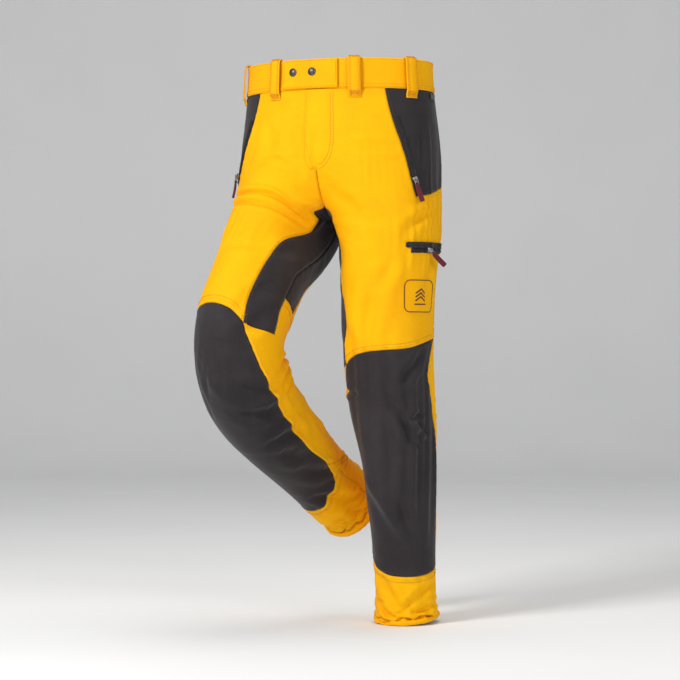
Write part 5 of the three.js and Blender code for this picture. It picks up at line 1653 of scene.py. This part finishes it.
def rounded_rectangle(w, h, r, count=12):
    out = []
    for cx, cy, a0 in ((w / 2 - r, h / 2 - r, 0), (-w / 2 + r, h / 2 - r, 90), (-w / 2 + r, -h / 2 + r, 180),
            (w / 2 - r, -h / 2 + r, 270)):
        for a in np.radians(np.linspace(a0, a0 + 90, count)):
            out.append((cx + r * math.cos(a), cy + r * math.sin(a)))
    return out


def dense(line, step=1.5, closed=False):
    line = np.asarray(list(line) + ([line[0]] if closed else []), float)
    run = np.concatenate([[0], np.cumsum(np.linalg.norm(np.diff(line, axis=0), axis=1))])
    at = np.linspace(0, run[-1], max(3, int(run[-1] / step)), endpoint=not closed)
    return np.stack([np.interp(at, run, line[:, k]) for k in range(2)], axis=-1)


BADGE_WIDTH, BADGE_HEIGHT = 74, 58
bands = [print_band(dense(rounded_rectangle(BADGE_WIDTH, BADGE_HEIGHT, 11), closed=True), 1.5, True)]
# A plain device of three stacked chevrons over a bar.
for y in (-4, 3, 10):
    bands.append(print_band(dense([(-13, y - 5), (0, y + 3), (13, y - 5)]), 2.6, False))
bands.append(print_band(dense([(-15, -15), (15, -15)]), 2.2, False))
film_grid = lozenge_grid(-BADGE_WIDTH / 2, BADGE_WIDTH / 2, -BADGE_HEIGHT / 2, BADGE_HEIGHT / 2, 11, 40, 40,
        1.0)
film_outer = on_badge(film_grid[..., 0], -film_grid[..., 1], CLOTH / 2 + 0.7)
film_inner = on_badge(film_grid[..., 0], -film_grid[..., 1], CLOTH / 2 + 0.2)
film = closed_strip(film_outer, film_inner)
flats = np.concatenate([film_grid.reshape(-1, 2)] * 2)
badge = make_object("thigh_badge", *film, [YELLOW], flat=flats)
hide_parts("thigh_badge")
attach(badge, "hips_and_thighs")
printed = make_object("badge_print", *joined(bands), [PRINT])
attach(printed, "hips_and_thighs")

tag_grid = np.stack(np.meshgrid(np.linspace(84, 94, 16), np.linspace(60, 70.5, 14)), axis=-1)
tag = panel("hip_tag", "L", [tag_grid], LABEL, [[(84, 61), (89, 61), (94, 61)]],
        [([(84.5, 62), (89, 62), (93.5, 62)], 0)],
            CHARCOAL_THREAD, rise=2.4, thickness=1.3, roll=0.3, inside=LABEL)
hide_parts("hip_tag")
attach(tag, "hips_and_thighs")
declare(tag)

# ---------------------------------------------------------------- floor and light
def stage_material():
    material, tree = new_material("pale_floor")
    place = node(tree, "ShaderNodeTexCoord").outputs["Object"]
    cloud = node(tree, "ShaderNodeTexNoise", None, Vector=place, Scale=2.0, Detail=3.0).outputs[0]
    colour = node(tree, "ShaderNodeValToRGB", {"stops": [(0.2, "#F6F6F5"), (0.8, "#FBFBFA")]},
            in0=cloud).outputs[0]
    finish_material(tree, colour, 0.9,
            node(tree, "ShaderNodeMath", {"operation": "MULTIPLY"}, in0=cloud, in1=0.0002).outputs[0], 1.0)
    return material


floor_z = cad_box[0][2] - 0.001
floor_mesh = bpy.data.meshes.new("floor")
# The wall stands beyond the camera's distance, so the object can be seen from every side.
sweep = [(-6, floor_z), (4.6, floor_z)]
sweep += [(4.6 + 1.2 * math.sin(a), floor_z + 1.2 - 1.2 * math.cos(a)) for a in np.linspace(0.1, math.pi / 2,
        14)]
sweep += [(5.8, floor_z + 6)]
floor_points = [(x, y, z) for x in (-7, 7) for y, z in sweep]
floor_mesh.from_pydata(floor_points, [],
        [[i, i + len(sweep), i + 1 + len(sweep), i + 1] for i in range(len(sweep) - 1)])
floor_mesh.materials.append(stage_material())
floor_mesh.polygons.foreach_set("use_smooth", [True] * len(floor_mesh.polygons))
floor = bpy.data.objects.new("floor", floor_mesh)
bpy.context.collection.objects.link(floor)
floor.rotation_euler = (0, 0, CAMERA_AZIMUTH)


def area_light(name, place, size, power):
    data = bpy.data.lights.new(name, "AREA")
    data.size = size
    data.energy = power
    light = bpy.data.objects.new(name, data)
    bpy.context.collection.objects.link(light)
    light.location = place
    light.rotation_euler = (Vector((0, 0, -0.5)) - Vector(place)).to_track_quat("-Z", "Y").to_euler()


area_light("key", (-1.2, -3.2, 1.5), 1.0, 104)
area_light("fill", (3.0, -2.2, 0.3), 1.8, 34)
area_light("top", (0.3, 0.6, 3.0), 2.0, 40)
world = bpy.data.worlds.new("studio")
bpy.context.scene.world = world
world.use_nodes = True
world.node_tree.nodes["Background"].inputs[0].default_value = linear("#F4F5F7")
world.node_tree.nodes["Background"].inputs[1].default_value = 0.34
bpy.context.scene.view_settings.view_transform = "Standard"
